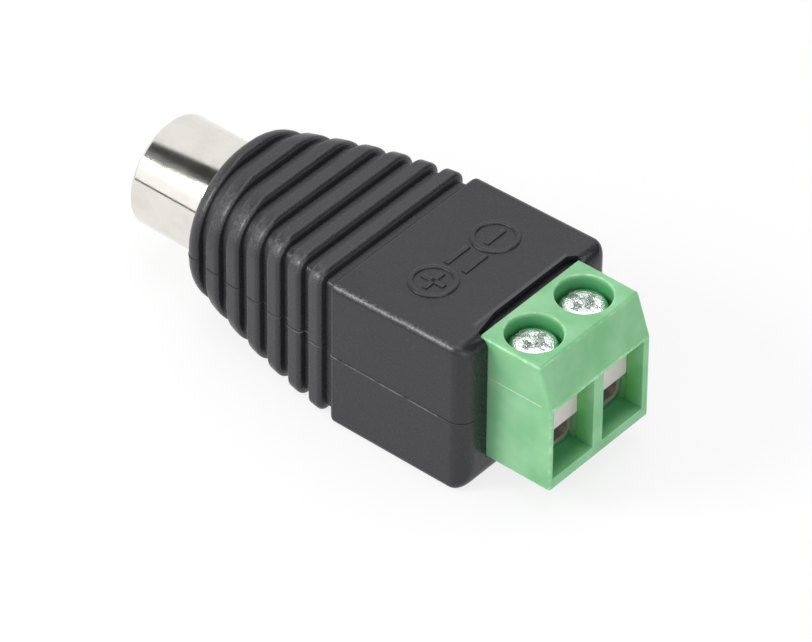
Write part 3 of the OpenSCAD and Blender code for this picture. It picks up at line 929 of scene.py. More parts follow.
@dataclass
class Overmould:
    """Charcoal moulding: a ribbed nose that grows into the rectangular grip block.

    Each corner that the scoop loses is a place along Y and a plane's outward direction.
    """

    layout: Layout
    rib_count: int = 7
    groove_w: float = 0.8
    groove_d: float = 0.55
    groove_draft: float = 0.06
    rib_edge: float = 0.15
    rib_lip: float = 0.4
    nose_round: float = 0.65
    edge_round: float = 0.5
    rear_round: float = 0.4
    front_round: float = 1.3
    front_drop: float = 1.0
    lip_end_x: float = 12.65
    lip_round: float = 0.28
    lip_len: float = 0.36
    lip_half: float = 5.12
    lip_fade: float = 0.12
    scoop_x: float = 11.98
    scoop_end_x: float = 12.62
    scoop_z: float = 11.66
    scoop_half: float = 5.03
    scoop_past: float = 0.1
    scoop_wall: float = 0.11
    scoop_corners: tuple[tuple[float, Point], ...] = ((-2.8, (-2.22, -0.47, 0)), (4.5, (-0.5, 0.35, 0)))
    corner_fill: float = 1.1
    fill_x: float = 1.0
    least_corner: float = 0.3
    roll_corner: float = 0.75
    lip_steps: int = 5
    lip_end_steps: int = 7
    lip_end_drop: float = 0.05
    lip_low_z: float = 11.0
    roll_steps: int = 10
    station_gap: float = 0.03
    corner_steps: int = 11
    seam_z: float = 5.85
    seam_half: float = 0.055
    seam_proud: float = 0.03
    core_x: Span = (-6.4, 9.0)
    core_y: float = 4.22
    core_z: float = 3.22
    core_round: float = 1.52
    seat_end_x: float = 18.0
    smooth: float = 40

    def envelope(self, x: float) -> Point:
        """Half width, half height and corner radius of the ribs at x."""
        lay = self.layout
        u = min(1.0, max(0.0, (x - lay.nose_x) / (lay.block_x - lay.nose_x)))
        return (lay.nose_half + (lay.block_half - lay.nose_half) * u,
                lay.nose_half + (lay.axis_z - lay.nose_half) * u,
                lay.last_corner + (lay.nose_corner - lay.last_corner) * (1 - u) ** lay.corner_fade)

    def rise(self, x: float, r: float) -> list[Span]:
        """Stations [x, inset] of a rounded lip that rises after x."""
        return [(x + r * (1 - math.cos(t)), r * (1 - math.sin(t))) for t in quarter(self.lip_steps)]

    def fall(self, x: float, r: float) -> list[Span]:
        """Stations [x, inset] of a rounded lip that falls before x."""
        return [(2 * x - place, inset) for place, inset in reversed(self.rise(x, r))]

    def rings(self) -> list[Section]:
        """Every section of the moulding: x, half width, low, high and corner radius."""
        lay = self.layout
        length = lay.block_x - lay.nose_x
        pitch = length / self.rib_count
        found = []
        for rib in range(self.rib_count):
            start = lay.nose_x + rib * pitch
            end = start + pitch - self.groove_w
            stations = self.rise(start, self.nose_round if rib == 0 else self.rib_edge)
            stations += self.fall(end, self.rib_lip)
            stations += [(end + self.groove_draft, self.groove_d),
                         (end + self.groove_w - self.groove_draft, self.groove_d)]
            for x, inset in stations:
                a, b, r = self.envelope(x)
                fill = 1 + self.corner_fill * (x > start + self.fill_x) * (lay.block_x - x) / length
                found.append((x, a - inset, lay.axis_z - b + inset, lay.axis_z + b - inset,
                              max(r - inset * fill, self.least_corner)))
        for x, inset in self.rise(lay.block_x, self.rear_round):
            found.append(self.block_ring(x, inset, inset))
        for x in self.roll_stations():
            found.append(self.block_ring(x, self.front_round * self.turn(x), self.roll_drop(x)))
        return found

    def roll_stations(self) -> list[float]:
        """Places of the sections of the rolled front, denser at the lip over the housing."""
        front = self.layout.block_front_x
        roll = [front - self.front_round * (1 - math.sin(t)) for t in quarter(self.roll_steps)]
        lip = [self.lip_end_x - self.lip_len * (1 - math.sin(t)) for t in quarter(self.lip_end_steps)]
        kept = [x for x in roll if all(abs(x - other) > self.station_gap for other in lip)]
        return sorted(kept + lip)

    def turn(self, x: float) -> float:
        """How far the front's rounding has fallen at x, 0 to 1."""
        return fallen(1 - (self.layout.block_front_x - x) / self.front_round)

    def roll_drop(self, x: float) -> float:
        """Drop of the rolled top at x."""
        return self.front_drop * self.turn(x)

    def lip_drop(self, x: float) -> float:
        """Drop of the lip over the housing at x: nearly flat, then a quick rounding."""
        start = self.lip_end_x - self.lip_len
        if x > self.lip_end_x + SAME:
            return max(self.roll_drop(x), self.lip_round + self.lip_end_drop)
        return self.roll_drop(min(x, start)) + self.lip_round * fallen((x - start) / self.lip_len)

    def block_ring(self, x: float, inset: float, top_inset: float) -> Section:
        """A section of the block at x, set in by an inset, and by another at its top."""
        lay = self.layout
        return (x, lay.block_half - inset, inset, lay.block_top(x) - top_inset,
                max(self.edge_round, inset * self.roll_corner))

    def ring(self, edit: Edit, x: float, half: float, low: float, high: float, round_r: float) -> None:
        """Adds one upright plane at x with its corners rounded."""
        middle = (x, 0, (low + high) / 2)
        bpy.ops.mesh.select_all(action="DESELECT")
        bpy.ops.mesh.primitive_plane_add(size=2, location=middle, rotation=(0, math.pi / 2, 0))
        bpy.ops.transform.resize(value=(1, half, (high - low) / 2), center_override=middle)
        edit.bevel(round_r, self.corner_steps, corners=True)

    def loft(self) -> Piece:
        """Bridges the rings one after the other into the closed outer skin.

        Returns:
            The skin.
        """
        deselect()
        bpy.ops.mesh.primitive_plane_add(size=2)
        obj = settle("overmould_skin")
        rings = self.rings()
        with Edit(obj) as edit:
            edit.everything()
            bpy.ops.mesh.delete(type="VERT")
            for index, ring in enumerate(rings):
                self.ring(edit, *ring)
                if index:
                    bpy.ops.mesh.delete(type="ONLY_FACE")
                    edit.open_loops()
                    bpy.ops.mesh.bridge_edge_loops()
            edit.open_loops()
            bpy.ops.mesh.edge_face_add()
            edit.tidy()
        return obj

    def lip(self, obj: Piece) -> None:
        """Ends the rolled top in a flat lip over the housing, so that no film of it is left there."""
        outer = self.lip_half + self.lip_fade
        with Edit(obj) as edit:
            for y in (-outer, -self.lip_half, self.lip_half, outer):
                edit.everything()
                bpy.ops.mesh.bisect(plane_co=(0, y, 0), plane_no=(0, 1, 0))
            for place in self.roll_stations()[:-1]:
                edit.points(lambda p, x=place: abs(p.x - x) < SAME and abs(p.y) < self.lip_half + SAME
                            and p.z > self.lip_low_z)
                bpy.ops.transform.translate(value=(0, 0, self.roll_drop(place) - self.lip_drop(place)))

    def hollow(self, obj: Piece) -> None:
        """Opens the seats of the barrel, the inner moulding and the terminal housing."""
        lay = self.layout
        mouth, buried, flange = (r + lay.gap for r in (lay.barrel_r, lay.buried_r, lay.flange_r))
        step = lay.barrel_step_x + lay.gap
        before, after = lay.flange_x[0] - lay.gap, lay.flange_x[1] + lay.gap
        bore = turned("bore", Axis.X, (0, 0, lay.axis_z), [
            (lay.nose_x - 1, mouth), (step, mouth), (step, buried), (before, buried), (before, flange),
            (after, flange), (after, buried), (lay.barrel_back_x + lay.gap, buried)])
        core = slab("core", self.core_x, self.core_y, (lay.axis_z - self.core_z, lay.axis_z + self.core_z))
        with Edit(core) as edit:
            edit.edges(lambda a, b: abs(a.x - b.x) > 1)
            edit.bevel(self.core_round, 5)
        low, high = lay.housing_z
        seat = slab("seat", (lay.housing_x - lay.gap, self.seat_end_x), lay.housing_half + lay.gap,
                    (low - lay.gap, high + lay.gap))
        cut(seat, slab("kept", (self.scoop_x - self.scoop_wall, self.scoop_end_x), lay.past_y,
                       (self.scoop_z - self.scoop_wall, lay.past_z)))
        cut(obj, bore, core, seat, self.scoop())

    def scoop(self) -> Piece:
        """The groove in the block's top behind the housing, narrower at its ends.

        Returns:
            The tool that cuts it.
        """
        obj = slab("scoop", (self.scoop_x, self.scoop_end_x + self.scoop_past), self.scoop_half,
                   (self.scoop_z, self.layout.past_z))
        with Edit(obj) as edit:
            for y, normal in self.scoop_corners:
                edit.slice_off((self.scoop_x, y, 0), normal)
            edit.tidy()
        return obj

    def seam(self) -> Piece:
        """The parting line: a low bead along both sides, over ribs and block.

        Returns:
            The bead.
        """
        sides = []
        for side in (-1, 1):
            deselect()
            path = [(x, half) for x, half, low, high, _ in self.rings() if low < self.seam_z < high]
            x0, y0 = path[0][0], side * path[0][1]
            bpy.ops.mesh.primitive_plane_add(size=2 * self.seam_half, location=(x0, y0, self.seam_z))
            obj = settle(f"seam_{side}")
            with Edit(obj) as edit:
                edit.everything()
                bpy.ops.transform.resize(value=(0, 0, 0), center_override=(x0, y0, self.seam_z))
                bpy.ops.mesh.remove_doubles(threshold=SAME)
                edit.extrude((0, 0, 2 * self.seam_half))
                edit.everything()
                bpy.ops.transform.translate(value=(0, 0, -self.seam_half))
                for (xa, ya), (xb, yb) in zip(path, path[1:]):
                    edit.extrude((xb - xa, side * (yb - ya), 0))
                    edit.points(lambda p, x=xb, y=side * yb: abs(p.x - x) < SAME and abs(p.y - y) < SAME)
            modify(obj, "SOLIDIFY", thickness=2 * self.seam_proud, offset=0)
            with Edit(obj) as edit:
                edit.tidy()
            sides.append(obj)
        return join("parting_line", sides)

    def build(self, wardrobe: Wardrobe) -> None:
        """Builds and dresses the moulding and its parting line."""
        skin = self.loft()
        self.lip(skin)
        self.hollow(skin)
        finish_piece(skin, Placing("connector", "overmould", ("overmould_body",)),
                     wardrobe.get("overmould"), self.smooth)
        finish_piece(self.seam(), Placing("connector", "overmould"),
                     wardrobe.get("witness_line"), self.smooth)


@dataclass
class PolarityMarks:
    """Raised plus and minus marks in rings, joined by two bars, on the block's top."""

    layout: Layout
    proud: float = 0.095
    sunk: float = 0.1
    ring_r: float = 1.72
    line_w: float = 0.4
    edge_r: float = 0.05
    bar_half: float = 0.95
    plus: Span = (6.88, -2.9)
    minus: Span = (7.08, 3.15)
    bars_x: Span = (6.34, 7.85)
    bars_y: float = 0.15
    bars_len: float = 2.25
    smooth: float = 50

    def ring(self, name: str, x: float, y: float) -> Piece:
        """A flat ring with rounded top edges."""
        low, high = -self.sunk, self.proud
        inner, outer, r = self.ring_r - self.line_w, self.ring_r, self.edge_r
        outline = [(low, outer), (high - r, outer), (high, outer - r), (high, inner + r), (high - r, inner),
                   (low, inner)]
        return turned(name, Axis.Z, (x, y, 0), outline, hollow=True, sides=64)

    def bar(self, name: str, x: float, y: float, long_x: float, long_y: float) -> Piece:
        """A bar with rounded top edges."""
        obj = slab(name, (x - long_x / 2, x + long_x / 2), long_y / 2, (-self.sunk, self.proud), y)
        with Edit(obj) as edit:
            edit.edges(lambda a, b: min(a.z, b.z) > 0)
            edit.bevel(self.edge_r, 2)
        return obj

    def build(self, wardrobe: Wardrobe) -> None:
        """Builds the marks flat, then tilts and lifts them onto the block's top."""
        w, arm = self.line_w, 2 * self.bar_half
        (px, py), (mx, my) = self.plus, self.minus
        parts = [self.ring("ring_plus", px, py), self.ring("ring_minus", mx, my),
                 self.bar("plus_across", px, py, arm, w), self.bar("plus_along", px, py, w, arm),
                 self.bar("minus_along", mx, my, w, arm)]
        parts += [self.bar("link", x, self.bars_y, w, self.bars_len) for x in self.bars_x]
        marks = join("polarity_marks", parts)
        lay = self.layout
        pivot = (px, 0, 0)
        with Edit(marks) as edit:
            edit.everything()
            bpy.ops.transform.rotate(value=lay.top_tilt, orient_axis="Y", center_override=pivot)
            bpy.ops.transform.translate(value=(0, 0, lay.block_top(px)))
        heights = [v.co.z - lay.block_top(v.co.x) for v in marks.data.vertices]
        LOG.info("marks stand %.3f to %.3f mm over the top", min(heights), max(heights))
        finish_piece(marks, Placing("connector", "overmould"), wardrobe.get("overmould"), self.smooth)


@dataclass
class Housing:
    """Green terminal housing: two cells with wire entries, two screw wells and a sloped front.

    A well's mouth is given as [height over the top, widening] points.
    """

    layout: Layout
    slope_z: float = 8.85
    slope_x: float = 17.6
    entry_top_z: float = 8.75
    cell_z: float = 2.95
    cell_back_x: float = 9.9
    cell_w: float = 4.15
    entry_w: float = 4.1
    entry_shift: float = 0.2
    roof_z: float = 9.5
    entry_x: float = 17.35
    entry_end_x: float = 20.0
    entry_lap: float = 0.05
    tail_half: float = 0.65
    tail_z: Span = (5.2, 5.8)
    well_r: float = 1.95
    well_mouth: tuple[Span, ...] = ((-0.14, 0.0), (-0.05, 0.03), (0.0, 0.1), (0.1, 0.3))
    channel_x: Span = (11.84, 12.64)
    channel_z: float = 11.52
    edge_r: float = 0.2
    inner_r: float = 0.07
    seam_z: float = 8.9
    seam_half: float = 0.05
    seam_proud: float = 0.03
    seam_sunk: float = 0.05
    seam_ends: Span = (0.02, 0.8)
    smooth: float = 40
    seam_smooth: float = 60

    def shell(self) -> Piece:
        """The outer block with its front slope cut off by a bisecting plane."""
        lay = self.layout
        obj = slab("housing_shell", (lay.housing_x, lay.front_x), lay.housing_half, lay.housing_z)
        with Edit(obj) as edit:
            edit.slice_off((lay.front_x, 0, self.slope_z),
                           (lay.housing_z[1] - self.slope_z, 0, lay.front_x - self.slope_x))
            edit.edges(lambda a, b: True)
            edit.bevel(self.edge_r, 3)
            edit.tidy()
        return obj

    def build(self, wardrobe: Wardrobe) -> None:
        """Builds and dresses the housing."""
        lay = self.layout
        obj = self.shell()
        for y in (-lay.pole_y, lay.pole_y):
            entry = slab("entry", (self.entry_x - self.entry_lap, self.entry_end_x), self.entry_w / 2,
                         (self.cell_z, self.entry_top_z), y - self.entry_shift)
            cell = slab("cell", (self.cell_back_x, self.entry_x), self.cell_w / 2,
                        (self.cell_z, self.roof_z), y)
            tail = slab("tail", (lay.housing_x - 1, self.cell_back_x + 1), self.tail_half, self.tail_z, y)
            wall = [(self.roof_z - 1, self.well_r)]
            wall += [(lay.housing_z[1] + over, self.well_r + wider) for over, wider in self.well_mouth]
            well = turned("well", Axis.Z, (lay.screw_x, y, 0), wall, sides=72)
            cut(obj, entry, cell, tail, well)
        cut(obj, slab("channel", self.channel_x, lay.past_y, (self.channel_z, lay.past_z)))
        soften(obj, self.inner_r, 3, 50)
        finish_piece(obj, Placing("connector", "green_plastic", ("terminal_housing",)),
                     wardrobe.get("green_plastic"), self.smooth)
        finish_piece(self.seam(), Placing("connector", "green_plastic"), wardrobe.get("green_flash"),
                     self.seam_smooth)

    def seam(self) -> Piece:
        """The low mould line along both sides of the housing."""
        lay = self.layout
        start, end = lay.block_front_x + self.seam_ends[0], lay.front_x - self.seam_ends[1]
        low, high = self.seam_z - self.seam_half, self.seam_z + self.seam_half
        inner, outer = lay.housing_half - self.seam_sunk, lay.housing_half + self.seam_proud
        lines = []
        for near, far in ((-outer, -inner), (inner, outer)):
            line = box("line", (start, near, low), (end, far, high))
            soften(line, self.seam_half / 2, 2)
            lines.append(line)
        return join("housing_seam", lines)


@dataclass
class TerminalParts:
    """One pole's strip, cage and screw, modelled at the plus pole and copied to the minus pole.

    The head's dome is [depth under its top, inset from its rim] points, and its dish [depth, radius]
    points. ridge_half is a share of the pitch. A rounding is its radius and its steps.
    """

    layout: Layout
    head_r: float = 1.65
    head_top_z: float = 11.3
    head_low_z: float = 9.8
    head_edge: float = 0.06
    dome: tuple[Span, ...] = ((0.42, 0.0), (0.3, 0.03), (0.18, 0.12), (0.09, 0.26), (0.03, 0.48),
                              (0.0, 0.8))
    shank_r: float = 1.25
    neck_r: float = 1.05
    tip_r: float = 0.7
    tip_len: float = 0.35
    tip_z: float = 5.775
    pitch: float = 0.45
    thread_d: float = 0.22
    ridge_half: float = 0.42
    ridge_w: float = 0.3
    ridge_crest: float = 0.12
    thread_ends: Span = (0.4, 0.1)
    thread_steps: int = 32
    slot_w: float = 0.66
    slot_d: float = 0.5
    wing_w: float = 0.62
    wing_reach: float = 1.2
    wing_taper: float = 0.5
    recess_d: float = 1.0
    dish: tuple[Span, ...] = ((1.0, 0.12), (0.75, 0.34), (0.4, 0.52), (0.0, 0.72), (-0.2, 0.88))
    cage_x: Span = (13.4, 16.8)
    cage_z: Span = (3.05, 7.55)
    cage_half: float = 1.975
    cage_hole_r: float = 1.3
    sheet: float = 0.5
    lapped: float = 1.2
    lap_w: float = 0.35
    lap_d: float = 0.6
    outer_rounds: tuple[Span, Span] = ((0.9, 6), (0.25, 3))
    inner_rounds: tuple[Span, Span] = ((0.4, 5), (0.2, 3))
    strip_z: Span = (5.25, 5.75)
    tail_x: float = 5.7
    tail_half: float = 0.6
    tongue_x: Span = (9.95, 16.95)
    tongue_half: float = 1.375
    tongue_edge: float = 0.1
    plate_x: Span = (16.9, 17.3)
    plate_half: float = 2.025
    plate_top_z: float = 9.45
    plate_cut: float = 0.15
    edge: float = 0.05

    def thread(self) -> Piece:
        """The thread: a small ridge section wound up the shank by a screw modifier."""
        lay = self.layout
        start, end = self.thread_ends
        root = self.shank_r - self.thread_d
        deselect()
        bpy.ops.mesh.primitive_plane_add(size=1)
        obj = settle("thread")
        with Edit(obj) as edit:
            edit.everything()
            bpy.ops.transform.resize(value=(self.ridge_w, 2 * self.ridge_half * self.pitch, 1))
            bpy.ops.transform.rotate(value=math.pi / 2, orient_axis="X", center_override=(0, 0, 0))
            bpy.ops.transform.translate(value=(self.shank_r - self.ridge_w / 2, 0, 0))
            edit.points(lambda p: p.x > root)
            bpy.ops.transform.resize(value=(1, 1, self.ridge_crest), center_override=(self.shank_r, 0, 0))
            edit.everything()
            bpy.ops.mesh.delete(type="ONLY_FACE")
        turns = int((self.head_low_z - self.tip_z - start - end) / self.pitch)
        modify(obj, "SCREW", axis="Z", steps=self.thread_steps, render_steps=self.thread_steps,
               iterations=turns, screw_offset=self.pitch, use_merge_vertices=False)
        with Edit(obj) as edit:
            edit.open_loops()
            bpy.ops.mesh.edge_face_add()
            edit.tidy()
        obj.data.transform(Matrix.Translation(Vector((lay.screw_x, -lay.pole_y, self.tip_z + start))))
        return obj

    def screw(self) -> Piece:
        """The screw: rounded head with a cross and slot, neck, thread and pointed tip."""
        lay = self.layout
        x, y, top, r = lay.screw_x, -lay.pole_y, self.head_top_z, self.head_r
        low = self.head_low_z
        profile = [(self.tip_z, self.tip_r), (self.tip_z + self.tip_len, self.neck_r), (low, self.neck_r),
                   (low, r - self.head_edge), (low + self.head_edge, r)]
        profile += [(top - depth, r - inset) for depth, inset in self.dome]
        obj = turned("screw", Axis.Z, (x, y, 0), profile, sides=72)
        slot = slab("slot", (x - 2, x + 2), self.slot_w / 2, (top - self.slot_d, top + 1), y)
        dish = turned("dish", Axis.Z, (x, y, 0), [(top - depth, r) for depth, r in self.dish], sides=24)
        wings = []
        for index, (reach_x, reach_y) in enumerate(((self.wing_reach, self.wing_w / 2),
                                                    (self.wing_w / 2, self.wing_reach))):
            wing = slab(f"wing_{index}", (x - reach_x, x + reach_x), reach_y,
                        (top - self.recess_d, top + 0.5), y)
            with Edit(wing) as edit:
                edit.points(lambda p: p.z < top)
                bpy.ops.transform.resize(value=(self.wing_taper, self.wing_taper, 1),
                                         center_override=(x, y, top))
            wings.append(wing)
        cut(obj, slot, dish, *wings)
        soften(obj, self.edge, 2, 30)
        with Edit(obj) as edit:
            edit.everything()
            bpy.ops.mesh.dissolve_degenerate(threshold=SAME)
            edit.tidy()
        return join("screw", [obj, self.thread()])

    def tube(self, name: str, x: Span, half: float, z: Span, rounds: tuple[Span, Span]) -> Piece:
        """A slab whose long edges are rounded, the lower two and the upper two in their own way."""
        obj = slab(name, x, half, z, -self.layout.pole_y)
        for place, (radius, steps) in zip(z, rounds):
            with Edit(obj) as edit:
                edit.edges(lambda a, b, z=place: abs(a.x - b.x) > 1 and abs(a.z - z) < SAME)
                edit.bevel(radius, steps)
        return obj

    def cage(self) -> Piece:
        """The folded cage: a rounded tube of sheet with a doubled, threaded top."""
        y, (low, high), r = -self.layout.pole_y, self.cage_z, self.cage_hole_r
        through = (self.cage_x[0] - 1, self.cage_x[1] + 1)
        inner = self.cage_half - self.sheet
        obj = self.tube("cage", self.cage_x, self.cage_half, self.cage_z, self.outer_rounds)
        window = self.tube("window", through, inner, (low + self.sheet, high - self.lapped),
                           self.inner_rounds)
        hole = turned("hole", Axis.Z, (self.layout.screw_x, y, 0), [(high - 2, r), (high + 1, r)], sides=48)
        lap = slab("lap", through, self.lap_w / 2, (high - self.lap_d, high + 1),
                   y - inner + self.lap_w / 2)
        cut(obj, window, hole, lap)
        soften(obj, self.edge, 2, 40)
        return obj

    def strip(self) -> Piece:
        """The contact strip: solder tail, tongue through the cage and upright front plate."""
        low, high = self.strip_z
        parts = [slab(name, x, half, (low, top), -self.layout.pole_y) for name, x, half, top in (
            ("strip", (self.tail_x, self.tongue_x[0]), self.tail_half, high),
            ("tongue", self.tongue_x, self.tongue_half, high),
            ("plate", self.plate_x, self.plate_half, self.plate_top_z))]
        with Edit(parts[2]) as edit:
            edit.edges(lambda a, b: abs(a.x - b.x) > 0.1 and a.z < low + 0.1)
            edit.bevel(self.plate_cut, 1)
        for part, width in zip(parts, (self.edge, self.tongue_edge, self.edge)):
            soften(part, width, 3, 30)
        return join("strip", parts)

    def build(self, wardrobe: Wardrobe) -> None:
        """Builds the three pieces at the plus pole and copies them to the minus pole."""
        step = (0, 2 * self.layout.pole_y, 0)
        for kind, model, slot, body in (("clamp_screw", self.screw(), "screw_zinc", "screw"),
                                        ("clamp_cage", self.cage(), "cage_steel", "cage"),
                                        ("contact_strip", self.strip(), "tinned", "connector")):
            twin = copied(model, f"{kind}_made_minus", step)
            model.name = model.data.name = f"{kind}_made_plus"
            for obj, pole in ((model, "plus"), (twin, "minus")):
                on = body if body == "connector" else f"{body}_{pole}"
                finish_piece(obj, Placing(on, slot, (f"{kind}_{pole}",)), wardrobe.get(slot))


@dataclass
class Socket:
    """Nickel barrel, its insulator and the centre contact with spring leaves."""

    layout: Layout
    bore_r: float = 3.65
    bore_x: Span = (-18.2, -6.6)
    lip_r: float = 3.4
    lip_w: float = 0.1
    rim_round: float = 0.25
    insulator_x: Span = (-18.18, -7.02)
    insulator_edge: float = 0.08
    hole_r: Span = (2.1, 1.9)
    hole_x: float = 0.2
    seat_r: Span = (2.07, 1.02)
    seat_x: Span = (-17.72, -10.23)
    contact_x: Span = (-17.7, -10.25)
    contact_edge: float = 0.08
    pin_r: Span = (1.6, 1.7)
    pin_end_x: float = -10.7
    sleeve_r: Span = (2.05, 1.98)
    shank_r: float = 1.0
    shank_end_x: float = -5.1
    centre_r: float = 0.05
    leaf_slots: int = 4
    leaf_slot_half: float = 0.15
    leaf_end_x: float = -11.15
    tail_x: Span = (-6.1, -2.5)
    tail_half: Span = (0.6, 0.3)
    tail_edge: float = 0.06
    smooth: float = 32

    def barrel(self) -> Piece:
        """The turned barrel, with its rolled mouth, holding flange and shouldered back."""
        lay = self.layout
        m, r, q, buried, step, back = (lay.mouth_x, lay.barrel_r, self.rim_round, lay.buried_r,
                                       lay.barrel_step_x, lay.barrel_back_x)
        (front, behind), (bore, end) = lay.flange_x, self.bore_x
        mouth = [(m + q * (1 - math.sin(t)), r - q * (1 - math.cos(t))) for t in reversed(quarter(5))]
        outline = [(m, self.lip_r + self.lip_w), *mouth, (step, r), (step, buried), (front, buried),
                   (front, lay.flange_r), (behind, lay.flange_r), (behind, buried), (back, buried),
                   (back, self.lip_r), (end, self.lip_r), (end, self.bore_r), (bore, self.bore_r),
                   (bore, self.lip_r), (m + self.lip_w, self.lip_r)]
        return turned("barrel", Axis.X, (0, 0, lay.axis_z), outline, hollow=True, sides=160)

    def insulator(self) -> Piece:
        """The white insulator with a chamfered pin hole and the contact's seat."""
        (front, back), (start, end), cut_off = self.insulator_x, self.seat_x, self.insulator_edge
        (mouth, hole), (wide, narrow), r = self.hole_r, self.seat_r, self.bore_r - self.layout.gap
        outline = [(front, mouth), (front, r - cut_off), (front + cut_off, r), (back, r), (back, narrow),
                   (end, narrow), (end, wide), (start, wide), (start, hole), (front + self.hole_x, hole)]
        return turned("insulator", Axis.X, (0, 0, self.layout.axis_z), outline, hollow=True, sides=96)

    def contact(self) -> Piece:
        """The centre contact: slotted sleeve, solid shank and flat solder tail."""
        z, axis = self.layout.axis_z, (0, 0, self.layout.axis_z)
        (front, back), (pin, mouth), (outer, rim) = self.contact_x, self.pin_r, self.sleeve_r
        outline = [(front, mouth), (front, rim), (front + self.contact_edge, outer), (back, outer),
                   (back, self.shank_r), (self.shank_end_x, self.shank_r),
                   (self.shank_end_x, self.centre_r), (self.pin_end_x, self.centre_r),
                   (self.pin_end_x, pin), (front + mouth - pin, pin)]
        obj = turned("contact", Axis.X, axis, outline, hollow=True, sides=72)
        for index in range(self.leaf_slots):
            tool = slab("leaf", (front - 1, self.leaf_end_x), self.leaf_slot_half, (z, z + 3))
            with Edit(tool) as edit:
                edit.everything()
                bpy.ops.transform.rotate(value=index * math.pi / 2, orient_axis="X", center_override=axis)
            cut(obj, tool)
        half_y, half_z = self.tail_half
        tail = slab("tail", self.tail_x, half_y, (z - half_z, z + half_z))
        soften(tail, self.tail_edge, 2)
        return join("contact", [obj, tail])

    def build(self, wardrobe: Wardrobe) -> None:
        """Builds and dresses the three pieces."""
        for kind, node, slot, obj in (("barrel", "socket_barrel", "nickel", self.barrel()),
                                      ("insulator", "socket_insulator", "insulator", self.insulator()),
                                      ("contact", "centre_contact", "contact_brass", self.contact())):
            obj.name = obj.data.name = f"{kind}_turned"
            finish_piece(obj, Placing("connector", slot, (node,)), wardrobe.get(slot), self.smooth)


@dataclass
class InnerPieces:
    """CAD nodes that stay as they are, each with its finish."""

    slots: dict[str, str] = field(default_factory=lambda: {
        s["node"]: s["material_slot"] for s in frame["record"]["subparts"]})

    def dress(self, wardrobe: Wardrobe) -> None:
        """Gives every CAD node the finish of its slot."""
        for node, obj in frame["nodes"].items():
            obj.data.materials.clear()
            obj.data.materials.append(wardrobe.get(self.slots[node]))
            LOG.info("%s wears %s", node, self.slots[node])


# ---- studio


@dataclass(frozen=True)
class Softbox:
    """A rectangular lamp aimed at the part."""

    name: str
    place: Point
    width: float
    height: float
    power: float


@dataclass(frozen=True)
class Card:
    """A card seen only in reflections, dark unless it glows; its tilt is in degrees."""

    name: str
    place: Point
    width: float
    height: float
    tilt: Point
    glow: float = 0.0


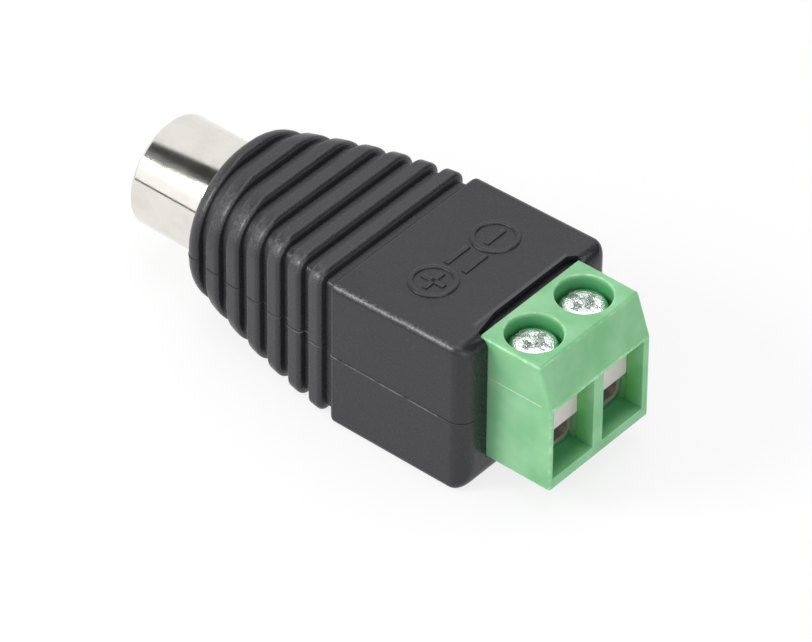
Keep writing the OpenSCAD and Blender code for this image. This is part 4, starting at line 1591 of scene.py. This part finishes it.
@dataclass
class Studio:
    """Camera at the photograph's angle, pale floor, white surround, dark and glowing cards, soft lamps.

    The camera looks at offset, shift sideways and up from the picture's middle; azimuth, elevation
    and roll are in radians.
    """

    azimuth: float = 0.6973698
    elevation: float = 0.7084219
    roll: float = 0.009589338
    distance: float = 495.2935
    shift: Span = (7.9176946, -7.2862337)
    offset: Point = (12.58, 0.0, 0.35)
    focal_px: float = 7521.6735
    frame_w: int = 812
    sensor_mm: float = 36
    clip_m: Span = (0.01, 10)
    floor_m: float = 6
    floor_gap_m: float = 0.00002
    floor_grey: Colour = (0.9, 0.9, 0.9)
    white: Colour = (1.0, 1.0, 1.0)
    floor_white: float = 0.8
    surround: float = 0.55
    unlit: float = 0.015
    boxes: tuple[Softbox, ...] = (
        Softbox("key", (-160, -215, 190), 130, 130, 0.62),
        Softbox("over", (0, 40, 330), 260, 260, 0.33),
        Softbox("side", (280, -110, 90), 140, 160, 0.16),
    )
    cards: tuple[Card, ...] = (
        Card("low_card", (-80, -140, 4), 300, 8, (90, 0, 0)),
        Card("high_card", (-41.6, -20.6, 50), 62, 15, (0, 0, 55), 0.045),
        Card("far_card", (118, 160, 196), 250, 230, (45.4, 0, 143.6)),
        Card("roll_card", (-78, 180, 238), 44, 110, (0, 0, 0), 2.4),
        Card("white_wall", (-150, -240, 175), 260, 330, (90, 0, 0), 1.2),
    )

    def camera(self) -> None:
        """Adds the camera of the photograph."""
        sa, ca = math.sin(self.azimuth), math.cos(self.azimuth)
        se, ce = math.sin(self.elevation), math.cos(self.elevation)
        back = Vector((sa * ce, -ca * ce, se))
        right = Vector((0, 0, 1)).cross(back).normalized()
        up = back.cross(right)
        sr, cr = math.sin(self.roll), math.cos(self.roll)
        right, up = right * cr + up * sr, up * cr - right * sr
        place = Vector(self.offset) - right * self.shift[0] - up * self.shift[1] + back * self.distance
        data = bpy.data.cameras.new("photo_camera")
        data.sensor_width = self.sensor_mm
        data.lens = self.sensor_mm * self.focal_px / self.frame_w
        data.clip_start, data.clip_end = self.clip_m
        cam = bpy.data.objects.new("photo_camera", data)
        turn = Matrix((right, up, back)).transposed().to_4x4()
        cam.matrix_world = Matrix.Translation(place * MM) @ turn
        bpy.context.scene.collection.objects.link(cam)
        bpy.context.scene.camera = cam

    def lamps(self) -> None:
        """Adds the soft lamps, each aimed at the part's middle."""
        for spec in self.boxes:
            data = bpy.data.lights.new(spec.name, "AREA")
            data.shape = "RECTANGLE"
            data.size, data.size_y = spec.width * MM, spec.height * MM
            data.energy = spec.power
            lamp = bpy.data.objects.new(spec.name, data)
            lamp.location = Vector(spec.place) * MM
            lamp.rotation_mode = "QUATERNION"
            lamp.rotation_quaternion = lamp.location.to_track_quat("Z", "Y")
            bpy.context.scene.collection.objects.link(lamp)

    def seen(self, nodes: Nodes, *kinds: str) -> Shade:
        """1 for rays of the kinds, besides those from the camera, else 0."""
        path = nodes.add("ShaderNodeLightPath", {}, [], out="Is Camera Ray")
        total = path
        for kind in kinds:
            total = total + Shade(nodes, path.socket.node.outputs[f"Is {kind} Ray"])
        return total.clamp()

    def floor(self) -> None:
        """Adds the pale floor that keeps the part's shadow."""
        deselect()
        bpy.ops.mesh.primitive_plane_add(size=self.floor_m, location=(0, 0, CAD_LOW.z - self.floor_gap_m))
        plane = settle("floor")
        nodes = Nodes("pale_floor")
        diffuse = nodes.add("ShaderNodeBsdfDiffuse", {}, {"Color": self.floor_grey})
        glow = nodes.add("ShaderNodeEmission", {}, {"Color": self.white, "Strength": 1.0})
        white = self.seen(nodes, "Glossy", "Transmission") * self.floor_white
        mix = nodes.add("ShaderNodeMixShader", {}, [white, diffuse, glow])
        nodes.add("ShaderNodeOutputMaterial", {}, [mix])
        plane.data.materials.append(nodes.owner)

    def reflected_cards(self) -> None:
        """Adds the cards that metal and gloss reflect."""
        for spec in self.cards:
            nodes = Nodes(spec.name)
            light = {"Color": self.white, "Strength": max(spec.glow, self.unlit)}
            nodes.add("ShaderNodeOutputMaterial", {}, [nodes.add("ShaderNodeEmission", {}, light)])
            deselect()
            bpy.ops.mesh.primitive_plane_add(size=1, location=Vector(spec.place) * MM)
            card = bpy.context.object
            card.scale = (spec.width * MM, spec.height * MM, 1)
            card.rotation_euler = [math.radians(turn) for turn in spec.tilt]
            settle(spec.name)
            card.data.materials.append(nodes.owner)
            card.visible_camera = card.visible_shadow = card.visible_diffuse = False

    def world(self) -> None:
        """White surround for the camera and reflections, grey for the light it gives."""
        nodes = Nodes("surround", world=True)
        bpy.context.scene.world = nodes.owner
        strength = self.seen(nodes, "Glossy") * (1 - self.surround) + self.surround
        sky = nodes.add("ShaderNodeBackground", {}, {"Color": self.white, "Strength": strength})
        nodes.add("ShaderNodeOutputWorld", {}, [sky])

    def build(self) -> None:
        """Sets up camera, floor, cards, lamps and surround."""
        self.camera()
        self.floor()
        self.reflected_cards()
        self.lamps()
        self.world()
        bpy.context.scene.view_settings.view_transform = "Standard"


def main() -> None:
    """Builds the part's looks in order."""
    logging.basicConfig(level=logging.INFO, format="%(message)s")
    wardrobe = Wardrobe()
    layout = Layout()
    InnerPieces().dress(wardrobe)
    builders: Iterable[object] = (Overmould(layout), PolarityMarks(layout), Housing(layout),
                                  TerminalParts(layout), Socket(layout))
    for builder in builders:
        builder.build(wardrobe)
        LOG.info("%s done", type(builder).__name__)
    Studio().build()


if __name__ == "__main__":
    main()
